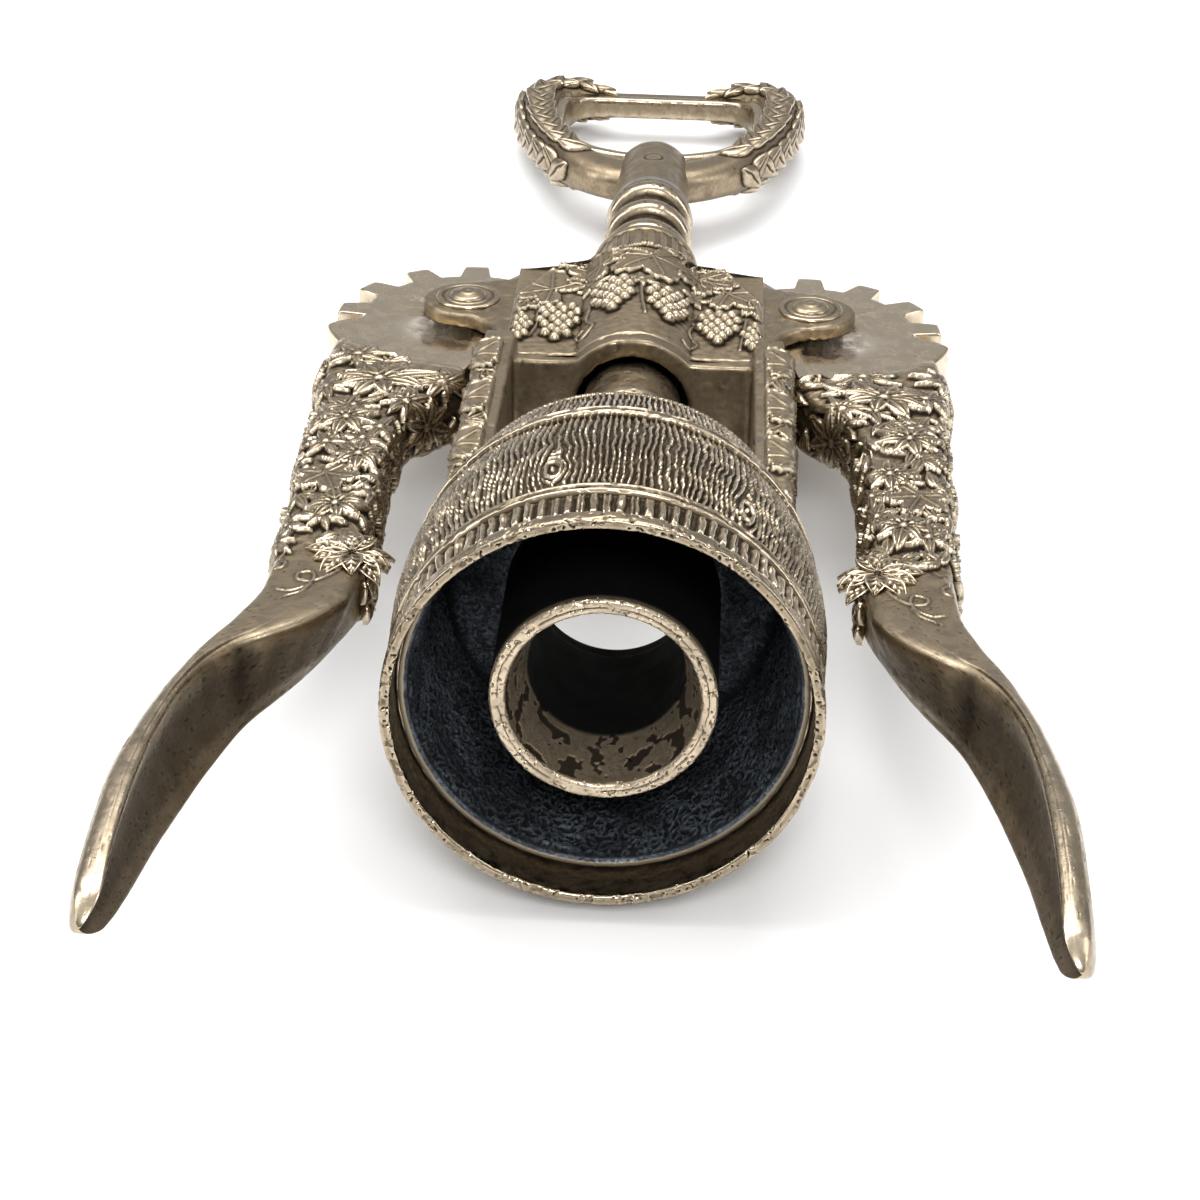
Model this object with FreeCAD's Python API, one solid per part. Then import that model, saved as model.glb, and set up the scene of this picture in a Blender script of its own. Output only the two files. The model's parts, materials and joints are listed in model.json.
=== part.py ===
import FreeCAD, Part
import math
import os

# Lever (wing) corkscrew, in millimetres.
# Every piece is drawn about the spindle axis, which runs along +Y from the centre of the barrel
# mouth to the handle, with +X to the right and +Z up. The last section lays the whole object on its
# back: it tilts it about X, so that barrel and handle touch the floor, and moves the origin to the
# middle of the footprint.

V = FreeCAD.Vector
X_AXIS = V(1, 0, 0)
Y_AXIS = V(0, 1, 0)
Z_AXIS = V(0, 0, 1)

# ---- driving dimensions -------------------------------------------------------------------------

# barrel: positions along the axis and radii
RIM_R = 25.0
RIM_LENGTH = 2.0
BELLY_R = 25.5
BELLY_Y = 18.0
MOUTH_R = 23.7
LINER_Y = 6.0
LINER_END_Y = 31.0
LINER_FRONT_R = 23.0
LINER_BACK_R = 20.9
LINER_WALL = 0.8
LINER_FLOOR = 1.6
WEB_END_Y = 34.5
BARREL_END_Y = 41.0
BARREL_END_R = 21.6
FOOT_RING_R = 20.0
FOOT_RING_BORE_R = 16.0

# seat tube, which bears on the bottle and passes the cork
SEAT_Y = 4.0
SEAT_R = 12.95
SEAT_LIP_R = 11.05
FUNNEL_END_Y = 11.5
CORK_BORE_R = 9.1
TUBE_STEP_Y = LINER_END_Y - LINER_FLOOR
TUBE_END_R = 11.5
TUBE_END_Y = 33.4
TUBE_RELIEF_Y = 30.5
TUBE_RELIEF_R = 9.8
NUT_R = 14.5

# barrel screws
SCREW_CIRCLE_R = 18.2
SCREW_ANGLE = 20.0
SCREW_R = 1.25
SCREW_HEAD_R = 2.3
SCREW_HEAD_DEPTH = 1.2
SCREW_END_Y = 44.0

# frame: legs, head, neck, ears
LEG_INNER_X = 16.4
LEG_OUTER_X = 21.2
LEG_HALF_Z = 8.0
LEG_END_Y = 91.0
HEAD_START_Y = 83.0
HEAD_END_Y = 118.0
HEAD_HALF_X = 17.5
HEAD_HALF_Z = 7.0
ARCH_R = 10.5
ARCH_BORE_R = 7.8
ARCH_BORE_END_Y = 100.0
NECK_R = 8.0
NECK_END_Y = 133.6
NECK_BORE_R = 7.0

# lever pivots and the parts stacked on them
PIVOT_X = 24.7
PIVOT_Y = 107.1
PIN_R = 2.0
PIN_RUNNING_CLEARANCE = 0.05
GEAR_HALF_Z = 3.45
SHIM_IN_Z = 3.5
EAR_IN_Z = 3.8
EAR_OUT_Z = 6.0
EAR_R = 6.5
WASHER_R = 4.6
WASHER_THICKNESS = 0.4
RIVET_HEAD_R = 2.7
RIVET_HEAD_HEIGHT = 0.8
POCKET_R = 19.4

# gears and rack
PITCH_R = 17.2
TOOTH_STEP = 0.5                      # radians between teeth
TOOTH_COUNT = 7
FIRST_TOOTH_ANGLE = math.radians(3.0)
GEAR_ROOT_R = 15.2
GEAR_TIP_R = 19.0
RACK_PITCH = PITCH_R * TOOTH_STEP
RACK_TIP_R = 6.95
RACK_ROOT_R = 5.2
RACK_RINGS = 8
RACK_START_Y = 73.0
RACK_END_Y = 158.6

# spindle
SHAFT_R = 3.1
SLEEVE_BORE_R = 3.15
SHAFT_START_Y = 72.0
SHAFT_END_Y = 176.0
WORM_TIP_Y = 31.0
WORM_HUB_Y = 68.0
WORM_MEAN_R = 3.1
WORM_WIRE_R = 1.3
WORM_PITCH = 9.0
WORM_POINT_LENGTH = 3.5
WORM_HUB_R = 4.8
COLLAR_R = 5.1
COLLAR_BORE_Y = 77.6
COLLAR_START_Y = 73.4
COLLAR_END_Y = 77.5
COLLAR_PIN_R = 0.8
BOSS_R = 6.0
BOSS_START_Y = 160.0
BOSS_END_Y = 181.0
THRUST_WASHER_R = 6.4
THRUST_WASHER_THICKNESS = 1.2
HANDLE_PIN_R = 1.1
HANDLE_PIN_Y = 171.0

# handle loop
LOOP_HALF_Z = 5.0
BAR_HALF_Z = 1.85
BAR_HALF_X = 15.0
BAR_START_Y = 206.0
LOOP_HALF_X = 26.0
LOOP_END_Y = 222.0
SLOT_HALF_X = 16.4
SLOT_START_Y = 182.0
SLOT_END_Y = 212.7

# levers
ARM_HALF_Z = 5.2
SPOON_HALF_Z = 7.0
ARM_START_R = 20.0
TIP_Y = -47.0
SCOOP_R = 5.5

# tilt that brings the barrel belly and the handle loop onto the floor together
TILT = math.degrees(math.atan2(BELLY_R - LOOP_HALF_Z, LOOP_END_Y - BELLY_Y))


# ---- building blocks ----------------------------------------------------------------------------

def rod(radius, y0, y1, x=0.0, z=0.0):
    """Cylinder along Y."""
    return Part.makeCylinder(radius, y1 - y0, V(x, y0, z), Y_AXIS)


def disc(radius, z0, z1, x, y):
    """Cylinder along Z."""
    return Part.makeCylinder(radius, z1 - z0, V(x, y, z0), Z_AXIS)


def block(x0, x1, y0, y1, z0, z1):
    """Box between two corners."""
    return Part.makeBox(x1 - x0, y1 - y0, z1 - z0, V(x0, y0, z0))


def turned(edges):
    """Solid of revolution about the spindle axis from a closed chain of edges in the XY plane."""
    face = Part.Face(Part.Wire(Part.__sortEdges__(edges)))
    return face.revolve(V(0, 0, 0), Y_AXIS, 360)


def chain(points):
    """Straight edges through (y, r) points, left open."""
    corners = [V(r, y, 0) for y, r in points]
    return [Part.LineSegment(a, b).toShape() for a, b in zip(corners, corners[1:])]


def arc(start, middle, end):
    """Arc through three (y, r) points."""
    ends = [V(r, y, 0) for y, r in (start, middle, end)]
    return Part.Arc(ends[0], ends[1], ends[2]).toShape()


def turned_polygon(points):
    """Solid of revolution from a closed polygon of (y, r) points."""
    return turned(chain(points + [points[0]]))


def curve(points):
    """Smooth edge through (x, y) points."""
    spline = Part.BSplineCurve()
    spline.interpolate([V(x, y, 0) for x, y in points])
    return spline.toShape()


def line(start, end):
    """Straight edge between (x, y) points."""
    return Part.LineSegment(V(start[0], start[1], 0), V(end[0], end[1], 0)).toShape()


def plate(edges, half_z):
    """Flat plate of the outline given, centred on z = 0."""
    face = Part.Face(Part.Wire(edges))
    solid = face.extrude(V(0, 0, 2 * half_z))
    solid.translate(V(0, 0, -half_z))
    return solid


def fused(first, *others):
    """Union of solids as one clean solid."""
    return first.fuse(list(others)).removeSplitter()


def mirrored(shape):
    """Mirror image across the plane x = 0."""
    return shape.mirror(V(0, 0, 0), X_AXIS)


def group(shapes):
    """Several separate solids in one node."""
    return Part.makeCompound(shapes)


# ---- barrel -------------------------------------------------------------------------------------

def make_barrel_shell():
    """Barrel with rim, two hoops, belly and top band; a web inside takes the screws."""
    outside = [
        arc((0.0, RIM_R - 0.4), (0.4, RIM_R - 0.1), (0.8, RIM_R)),
        *chain([(0.8, RIM_R), (RIM_LENGTH, RIM_R), (2.4, 24.2), (7.2, 24.3), (7.4, 24.9),
                (9.0, 25.0), (9.2, 24.6)]),
        arc((9.2, 24.6), (BELLY_Y, BELLY_R), (28.8, 24.1)),
        *chain([(28.8, 24.1), (29.0, 24.6), (31.0, 24.3), (31.2, 23.6),
                (BARREL_END_Y, BARREL_END_R)]),
    ]
    inside = chain([(BARREL_END_Y, BARREL_END_R), (BARREL_END_Y, FOOT_RING_R),
                    (WEB_END_Y, FOOT_RING_R), (WEB_END_Y, FOOT_RING_BORE_R),
                    (LINER_END_Y, FOOT_RING_BORE_R), (LINER_END_Y, LINER_BACK_R),
                    (LINER_Y, LINER_FRONT_R), (LINER_Y, MOUTH_R), (0.0, MOUTH_R),
                    (0.0, RIM_R - 0.4)])
    shell = turned(outside + inside)
    holes = [rod(SCREW_R, LINER_END_Y - 1, WEB_END_Y + 1, x, z) for x, z in screw_places()]
    sinks = [screw_head(x, z) for x, z in screw_places()]
    return shell.cut(holes + sinks)


def make_barrel_liner():
    """Thin cup between the barrel wall and the seat tube."""
    floor_y = LINER_END_Y - LINER_FLOOR
    return turned_polygon([
        (LINER_Y, LINER_FRONT_R), (LINER_END_Y, LINER_BACK_R), (LINER_END_Y, TUBE_END_R),
        (floor_y, TUBE_END_R), (floor_y, LINER_BACK_R - LINER_WALL),
        (LINER_Y, LINER_FRONT_R - LINER_WALL)])


def make_seat_tube():
    """Ring that bears on the bottle, funnel, and tube that passes the cork."""
    return turned_polygon([
        (SEAT_Y, SEAT_LIP_R), (SEAT_Y, SEAT_R - 0.3), (SEAT_Y + 0.3, SEAT_R),
        (TUBE_STEP_Y, SEAT_R), (TUBE_STEP_Y, TUBE_END_R), (TUBE_END_Y, TUBE_END_R),
        (TUBE_END_Y, TUBE_RELIEF_R), (TUBE_RELIEF_Y, TUBE_RELIEF_R),
        (TUBE_RELIEF_Y, CORK_BORE_R), (FUNNEL_END_Y, CORK_BORE_R)])


def make_seat_tube_nut():
    """Round nut with two spanner slots, behind the liner."""
    nut = rod(NUT_R, LINER_END_Y, TUBE_END_Y).cut(rod(TUBE_END_R, LINER_END_Y, TUBE_END_Y))
    slot_depth = 1.0
    slot = block(-NUT_R, NUT_R, TUBE_END_Y - slot_depth, TUBE_END_Y, -1.0, 1.0)
    return nut.cut(slot.cut(rod(NUT_R - 1.8, LINER_END_Y, TUBE_END_Y)))


def screw_places():
    """Centres (x, z) of the four barrel screws, two under each leg."""
    places = []
    for side in (0.0, 180.0):
        for offset in (-SCREW_ANGLE, SCREW_ANGLE):
            angle = math.radians(side + offset)
            places.append((SCREW_CIRCLE_R * math.cos(angle), SCREW_CIRCLE_R * math.sin(angle)))
    return places


def screw_head(x, z):
    """Countersunk head, flush with the front of the web."""
    return Part.makeCone(SCREW_HEAD_R, SCREW_R, SCREW_HEAD_DEPTH, V(x, LINER_END_Y, z), Y_AXIS)


def make_barrel_screws():
    """Four countersunk screws through the web into the legs."""
    screws = []
    for x, z in screw_places():
        shank = rod(SCREW_R, LINER_END_Y, SCREW_END_Y, x, z)
        screws.append(fused(shank, screw_head(x, z)))
    return group(screws)


# ---- frame --------------------------------------------------------------------------------------

def leg_outline():
    """Edges of the right leg in plan: flat inside, softly bulged outside."""
    bottom = (FOOT_RING_R - 0.2, BARREL_END_Y)
    top = (LEG_OUTER_X - 0.4, LEG_END_Y)
    return [
        line((LEG_INNER_X, BARREL_END_Y), bottom),
        curve([bottom, (LEG_OUTER_X, 52.0), (LEG_OUTER_X, 76.0), top]),
        line(top, (LEG_INNER_X, LEG_END_Y)),
        line((LEG_INNER_X, LEG_END_Y), (LEG_INNER_X, BARREL_END_Y)),
    ]


def ear_outline():
    """Edges of the right ear in plan: a round end about the pivot, widening into the head."""
    end_top = (PIVOT_X + 1.0, PIVOT_Y + math.sqrt(EAR_R ** 2 - 1.0))
    end_low = (PIVOT_X + 1.0, PIVOT_Y - math.sqrt(EAR_R ** 2 - 1.0))
    root_top = (12.0, HEAD_END_Y)
    root_low = (12.0, 88.0)
    return [
        line(root_low, root_top),
        curve([root_top, (18.0, 115.8), end_top]),
        Part.Arc(V(end_top[0], end_top[1], 0), V(PIVOT_X + EAR_R, PIVOT_Y, 0),
                 V(end_low[0], end_low[1], 0)).toShape(),
        curve([end_low, (20.5, 97.0), (17.6, 90.0), root_low]),
    ]


def make_frame_casting():
    """Foot ring, two legs, head, ears and neck in one casting."""
    ring = rod(FOOT_RING_R, WEB_END_Y, BARREL_END_Y)
    leg = plate(leg_outline(), LEG_HALF_Z)
    head = block(-HEAD_HALF_X, HEAD_HALF_X, HEAD_START_Y, HEAD_END_Y, -HEAD_HALF_Z, HEAD_HALF_Z)
    ear = plate(ear_outline(), EAR_OUT_Z)
    arch = rod(ARCH_R, HEAD_START_Y, HEAD_END_Y)
    shoulder = Part.makeCone(ARCH_R, NECK_R, 5.0, V(0, HEAD_END_Y, 0), Y_AXIS)
    neck = rod(NECK_R, HEAD_END_Y, NECK_END_Y)
    casting = fused(ring, leg, mirrored(leg), head, ear, mirrored(ear), arch, shoulder, neck)
    pocket = disc(POCKET_R, -EAR_IN_Z, EAR_IN_Z, PIVOT_X, PIVOT_Y)
    pin_hole = disc(PIN_R, -2 * EAR_OUT_Z, 2 * EAR_OUT_Z, PIVOT_X, PIVOT_Y)
    cuts = [
        rod(FOOT_RING_BORE_R, WEB_END_Y - 1, BARREL_END_Y + 1),
        rod(NECK_BORE_R, HEAD_START_Y - 1, NECK_END_Y + 1),
        rod(ARCH_BORE_R, HEAD_START_Y - 1, ARCH_BORE_END_Y),
        pocket, mirrored(pocket), pin_hole, mirrored(pin_hole),
    ]
    cuts += [rod(SCREW_R, WEB_END_Y - 1, SCREW_END_Y, x, z) for x, z in screw_places()]
    return casting.cut(cuts)


def make_pivot_pin():
    """Right rivet through both ears and the lever, with a head at each end."""
    washer_top = EAR_OUT_Z + WASHER_THICKNESS
    shank = disc(PIN_R, -washer_top, washer_top, PIVOT_X, PIVOT_Y)
    top = Part.makeCone(RIVET_HEAD_R, RIVET_HEAD_R - 0.8, RIVET_HEAD_HEIGHT,
                        V(PIVOT_X, PIVOT_Y, washer_top), Z_AXIS)
    low = Part.makeCone(RIVET_HEAD_R, RIVET_HEAD_R - 0.8, RIVET_HEAD_HEIGHT,
                        V(PIVOT_X, PIVOT_Y, -washer_top), V(0, 0, -1))
    return fused(shank, top, low)


def washer_pair(radius, z_in, z_out):
    """Front and back washer about the right pivot."""
    pair = []
    for low, high in ((z_in, z_out), (-z_out, -z_in)):
        washer = disc(radius, low, high, PIVOT_X, PIVOT_Y)
        pair.append(washer.cut(disc(PIN_R, low, high, PIVOT_X, PIVOT_Y)))
    return group(pair)


# ---- levers -------------------------------------------------------------------------------------

def gear_tooth(angle):
    """One tooth of the right gear, with a rounded tip."""
    def at(radius, offset):
        x = PIVOT_X + radius * math.cos(angle) - offset * math.sin(angle)
        y = PIVOT_Y + radius * math.sin(angle) + offset * math.cos(angle)
        return (x, y)

    root_r, flank_r = GEAR_ROOT_R - 1.0, GEAR_TIP_R - 0.7
    root_half, tip_half = 2.7, 1.5
    tip = Part.Arc(*[V(x, y, 0) for x, y in (at(flank_r, tip_half), at(GEAR_TIP_R, 0.0),
                                            at(flank_r, -tip_half))]).toShape()
    edges = [line(at(root_r, root_half), at(flank_r, tip_half)), tip,
             line(at(flank_r, -tip_half), at(root_r, -root_half)),
             line(at(root_r, -root_half), at(root_r, root_half))]
    return plate(edges, GEAR_HALF_Z)


def arm_outline():
    """Edges of the right arm and thumb piece in plan, from the gear to the tip."""
    outer = [(38.5, 101.0), (41.0, 92.0), (43.0, 84.0), (42.0, 70.0), (42.0, 55.0), (41.2, 40.0),
             (40.8, 20.0), (42.5, 11.0), (46.0, 0.0), (49.0, -12.0), (50.5, -26.0),
             (50.2, -38.0)]
    tip = (49.4, -43.6)
    inner = [(47.0, -43.6), (46.4, -34.0), (45.0, -18.0), (43.0, -6.0), (38.0, 5.0),
             (33.0, 10.5), (29.5, 16.0), (29.5, 26.0), (31.0, 36.0), (31.0, 60.0),
             (30.0, 72.0), (26.0, 81.0), (22.6, 89.0), (22.6, 93.0)]
    end_arc = Part.Arc(V(tip[0], tip[1], 0), V(48.3, TIP_Y, 0), V(inner[0][0], inner[0][1], 0))
    return [curve(outer + [tip]), end_arc.toShape(), curve(inner), line(inner[-1], outer[0])]


def arm_side_limit():
    """Block that gives the arm its height along its length, widest at the thumb piece."""
    heights = [(TIP_Y - 0.5, 1.6), (-44.0, 4.0), (-38.0, 5.6), (-25.0, SPOON_HALF_Z - 0.2),
               (-10.0, SPOON_HALF_Z), (6.0, 6.2), (20.0, ARM_HALF_Z)]
    upper = [V(0, y, z) for y, z in heights]
    lower = [V(0, y, -z) for y, z in reversed(heights)]
    top_spline, low_spline = Part.BSplineCurve(), Part.BSplineCurve()
    top_spline.interpolate(upper)
    low_spline.interpolate(lower)
    far_top, far_low = V(0, 110, ARM_HALF_Z), V(0, 110, -ARM_HALF_Z)
    edges = [top_spline.toShape(), Part.LineSegment(upper[-1], far_top).toShape(),
             Part.LineSegment(far_top, far_low).toShape(),
             Part.LineSegment(far_low, lower[0]).toShape(), low_spline.toShape(),
             Part.LineSegment(lower[-1], upper[0]).toShape()]
    return Part.Face(Part.Wire(edges)).extrude(V(60, 0, 0))


def scoop():
    """Hollow in the inner face of the thumb piece: a rod with round ends."""
    start, end = V(37.6, -6.0, 0), V(42.6, -36.0, 0)
    axis = end - start
    middle = Part.makeCylinder(SCOOP_R, axis.Length, start, axis)
    return fused(middle, Part.makeSphere(SCOOP_R, start), Part.makeSphere(SCOOP_R, end))


def make_lever():
    """Right lever: gear, arm and thumb piece."""
    arm = plate(arm_outline(), SPOON_HALF_Z).common(arm_side_limit()).cut(scoop())
    for low, high in ((GEAR_HALF_Z, SPOON_HALF_Z + 1), (-SPOON_HALF_Z - 1, -GEAR_HALF_Z)):
        arm = arm.cut(disc(ARM_START_R, low, high, PIVOT_X, PIVOT_Y))
    gear = disc(GEAR_ROOT_R, -GEAR_HALF_Z, GEAR_HALF_Z, PIVOT_X, PIVOT_Y)
    teeth = [gear_tooth(FIRST_TOOTH_ANGLE + i * TOOTH_STEP) for i in range(TOOTH_COUNT)]
    lever = fused(gear, arm, *teeth)
    bore_r = PIN_R + PIN_RUNNING_CLEARANCE
    return lever.cut(disc(bore_r, -EAR_OUT_Z, EAR_OUT_Z, PIVOT_X, PIVOT_Y))


# ---- rack and spindle ---------------------------------------------------------------------------

def ring_places():
    """Positions of the rack rings: the highest gap lies on the gear tooth that is in mesh."""
    mesh_angle = FIRST_TOOTH_ANGLE + (TOOTH_COUNT - 1) * TOOTH_STEP
    gap_y = PIVOT_Y + PITCH_R * (math.pi - mesh_angle)
    first = gap_y - 1.5 * RACK_PITCH
    return [first + i * RACK_PITCH for i in range(RACK_RINGS)]


def make_rack_sleeve():
    """Round rack: ring teeth above, a plain sleeve with a collar pocket below."""
    foot_half, flank_half, flank_r = 2.3, 1.6, 6.5
    rings = ring_places()
    edges = chain([(COLLAR_BORE_Y, SLEEVE_BORE_R), (COLLAR_BORE_Y, COLLAR_R + 0.2),
                   (RACK_START_Y, COLLAR_R + 0.2), (RACK_START_Y, RACK_TIP_R - 0.5),
                   (RACK_START_Y + 0.5, RACK_TIP_R), (rings[0] - 4.5, RACK_TIP_R),
                   (rings[0] - 3.6, RACK_ROOT_R)])
    last = (rings[0] - 3.6, RACK_ROOT_R)
    for y in rings:
        edges += chain([last, (y - foot_half, RACK_ROOT_R), (y - flank_half, flank_r)])
        edges.append(arc((y - flank_half, flank_r), (y, RACK_TIP_R), (y + flank_half, flank_r)))
        edges += chain([(y + flank_half, flank_r), (y + foot_half, RACK_ROOT_R)])
        last = (y + foot_half, RACK_ROOT_R)
    edges += chain([last, (RACK_END_Y, RACK_ROOT_R), (RACK_END_Y, SLEEVE_BORE_R),
                    (COLLAR_BORE_Y, SLEEVE_BORE_R)])
    return turned(edges)


def collar_pin_hole():
    """Cross hole for the collar pin."""
    middle_y = (COLLAR_START_Y + COLLAR_END_Y) / 2
    return disc(COLLAR_PIN_R, -COLLAR_R + 0.3, COLLAR_R - 0.3, 0.0, middle_y)


def make_spindle_shaft():
    """Plain shaft from the worm to the handle boss."""
    shaft = rod(SHAFT_R, SHAFT_START_Y, SHAFT_END_Y)
    return shaft.cut([collar_pin_hole(), handle_pin_hole()])


def make_worm():
    """Wire helix below a short hub, with a pointed tip."""
    start_y = WORM_TIP_Y + WORM_POINT_LENGTH / 2
    helix = Part.makeHelix(WORM_PITCH, WORM_HUB_Y - start_y, WORM_MEAN_R)
    start = V(WORM_MEAN_R, 0, 0)
    along = V(0, 2 * math.pi * WORM_MEAN_R, WORM_PITCH)
    section = Part.Wire(Part.Circle(start, along, WORM_WIRE_R).toShape())
    coil = Part.Wire(helix.Edges).makePipeShell([section], True, True)
    point = Part.makeCone(WORM_WIRE_R, 0.15, WORM_POINT_LENGTH, start, along.negative())
    wire = coil.fuse([point])
    wire.rotate(V(0, 0, 0), X_AXIS, -90)
    wire.translate(V(0, start_y, 0))
    hub = rod(WORM_HUB_R, WORM_HUB_Y - 0.5, SHAFT_START_Y)
    return fused(hub, wire)


def make_retaining_collar():
    """Collar in the lower end of the rack sleeve, which holds the sleeve on the shaft."""
    collar = rod(COLLAR_R, COLLAR_START_Y, COLLAR_END_Y)
    collar = collar.cut(rod(SHAFT_R, COLLAR_START_Y, COLLAR_END_Y))
    return collar.cut(collar_pin_hole())


def make_collar_pin():
    """Pin through collar and shaft."""
    return collar_pin_hole()


def make_thrust_washer():
    """Washer between the rack sleeve and the handle boss."""
    start = BOSS_START_Y - THRUST_WASHER_THICKNESS
    return rod(THRUST_WASHER_R, start, BOSS_START_Y).cut(rod(SHAFT_R, start, BOSS_START_Y))


# ---- handle -------------------------------------------------------------------------------------

def handle_pin_hole():
    """Cross hole for the handle pin, along Z."""
    return disc(HANDLE_PIN_R, -BOSS_R + 0.25, BOSS_R - 0.25, 0.0, HANDLE_PIN_Y)


def loop_outline():
    """Outer edges of the handle loop in plan."""
    right = [(5.0, 168.0), (12.0, 173.5), (18.0, 182.0), (22.5, 192.0), (25.2, 202.0),
             (LOOP_HALF_X, 210.0), (25.0, 217.5), (21.0, LOOP_END_Y), (16.0, 220.0),
             (10.0, 217.3)]
    left = [(-x, y) for x, y in reversed(right)]
    return [curve(right), line(right[-1], left[0]), curve(left), line(left[-1], right[0])]


def slot_outline():
    """Edges of the opening in the handle loop, which takes a crown cap."""
    corner = 4.5
    low_right = [(SLOT_HALF_X, 197.0), (14.2, 189.5), (10.0, 184.3), (5.0, SLOT_START_Y)]
    low_left = [(-x, y) for x, y in reversed(low_right)]
    side_top = SLOT_END_Y - corner
    bend = corner * (1 - math.sqrt(0.5))
    corner_right = Part.Arc(V(SLOT_HALF_X - corner, SLOT_END_Y, 0),
                            V(SLOT_HALF_X - bend, SLOT_END_Y - bend, 0),
                            V(SLOT_HALF_X, side_top, 0)).toShape()
    corner_left = Part.Arc(V(-SLOT_HALF_X, side_top, 0),
                           V(-SLOT_HALF_X + bend, SLOT_END_Y - bend, 0),
                           V(-SLOT_HALF_X + corner, SLOT_END_Y, 0)).toShape()
    return [corner_right, line((SLOT_HALF_X, side_top), low_right[0]), curve(low_right),
            line(low_right[-1], low_left[0]), curve(low_left),
            line(low_left[-1], (-SLOT_HALF_X, side_top)), corner_left,
            line((-SLOT_HALF_X + corner, SLOT_END_Y), (SLOT_HALF_X - corner, SLOT_END_Y))]


def make_handle():
    """Boss and loop; the loop's far side is a flat bar."""
    loop = plate(loop_outline(), LOOP_HALF_Z).cut(plate(slot_outline(), LOOP_HALF_Z + 1))
    for low, high in ((BAR_HALF_Z, LOOP_HALF_Z + 1), (-LOOP_HALF_Z - 1, -BAR_HALF_Z)):
        loop = loop.cut(block(-BAR_HALF_X, BAR_HALF_X, BAR_START_Y, LOOP_END_Y + 1, low, high))
    dome = Part.makeCone(BOSS_R, BOSS_R - 2.0, 2.0, V(0, BOSS_END_Y - 2.0, 0), Y_AXIS)
    handle = fused(rod(BOSS_R, BOSS_START_Y, BOSS_END_Y - 2.0), dome, loop)
    return handle.cut([rod(SHAFT_R, BOSS_START_Y - 1, SHAFT_END_Y), handle_pin_hole()])


# ---- the object ---------------------------------------------------------------------------------

def make_nodes():
    """Every node by name, upright on the spindle axis."""
    pin = make_pivot_pin()
    washers = washer_pair(WASHER_R, EAR_OUT_Z, EAR_OUT_Z + WASHER_THICKNESS)
    shims = washer_pair(WASHER_R, SHIM_IN_Z, EAR_IN_Z)
    lever = make_lever()
    return {
        "frame_casting": make_frame_casting(),
        "barrel_shell": make_barrel_shell(),
        "barrel_liner": make_barrel_liner(),
        "barrel_screws": make_barrel_screws(),
        "seat_tube": make_seat_tube(),
        "seat_tube_nut": make_seat_tube_nut(),
        "right_pivot_pin": pin,
        "left_pivot_pin": mirrored(pin),
        "right_pivot_washers": washers,
        "left_pivot_washers": mirrored(washers),
        "right_gear_shims": shims,
        "left_gear_shims": mirrored(shims),
        "right_lever": lever,
        "left_lever": mirrored(lever),
        "rack_sleeve": make_rack_sleeve(),
        "spindle_shaft": make_spindle_shaft(),
        "worm": make_worm(),
        "retaining_collar": make_retaining_collar(),
        "collar_pin": make_collar_pin(),
        "thrust_washer": make_thrust_washer(),
        "handle": make_handle(),
        "handle_pin": handle_pin_hole(),
    }


def laid_down(nodes):
    """Tilt every node about X, then bring the footprint's middle to the origin and the floor to 0."""
    tilt = FreeCAD.Rotation(X_AXIS, -TILT)
    tilted = {}
    for name, shape in nodes.items():
        turned_shape = shape.copy()
        turned_shape.Placement = FreeCAD.Placement(V(0, 0, 0), tilt) * turned_shape.Placement
        tilted[name] = turned_shape
    box = Part.makeCompound(list(tilted.values())).optimalBoundingBox()
    shift = V(-(box.XMin + box.XMax) / 2, -(box.YMin + box.YMax) / 2, -box.ZMin)
    for shape in tilted.values():
        shape.translate(shift)
    print("tilt %.4f deg, shift %.4f %.4f %.4f" % (TILT, shift.x, shift.y, shift.z))
    print("size %.2f %.2f %.2f" % (box.XLength, box.YLength, box.ZLength))
    return tilted


os.makedirs("parts", exist_ok=True)
for node_name, node_shape in laid_down(make_nodes()).items():
    print("%-22s solids %d valid %s volume %.1f" % (
        node_name, len(node_shape.Solids), node_shape.isValid(), node_shape.Volume))
    node_shape.exportStep("parts/%s.step" % node_name)
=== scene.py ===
import json
import math

import bpy
import numpy as np
from mathutils import Matrix, Vector


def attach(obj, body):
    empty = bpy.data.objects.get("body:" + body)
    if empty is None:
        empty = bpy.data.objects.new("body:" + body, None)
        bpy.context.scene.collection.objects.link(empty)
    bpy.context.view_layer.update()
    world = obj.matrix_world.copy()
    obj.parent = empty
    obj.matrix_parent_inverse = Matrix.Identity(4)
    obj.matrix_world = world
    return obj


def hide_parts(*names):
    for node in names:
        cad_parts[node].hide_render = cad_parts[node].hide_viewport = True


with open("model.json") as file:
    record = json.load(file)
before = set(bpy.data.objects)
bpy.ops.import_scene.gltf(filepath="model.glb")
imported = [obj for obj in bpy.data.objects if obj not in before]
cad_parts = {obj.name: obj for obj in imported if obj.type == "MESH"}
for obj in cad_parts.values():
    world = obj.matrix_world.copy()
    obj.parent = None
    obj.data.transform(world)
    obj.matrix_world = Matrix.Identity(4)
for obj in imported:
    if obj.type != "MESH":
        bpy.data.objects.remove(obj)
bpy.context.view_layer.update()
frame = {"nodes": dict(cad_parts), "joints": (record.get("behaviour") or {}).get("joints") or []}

MM = 0.001
TAU = 2 * math.pi

# The spindle frame: millimetres from the centre of the barrel mouth, X to the right, Y along the
# spindle to the handle, Z up. Everything is drawn in it and then laid down as the model lies.

PIVOT_X = 24.7
PIVOT_Y = 107.1

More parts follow.
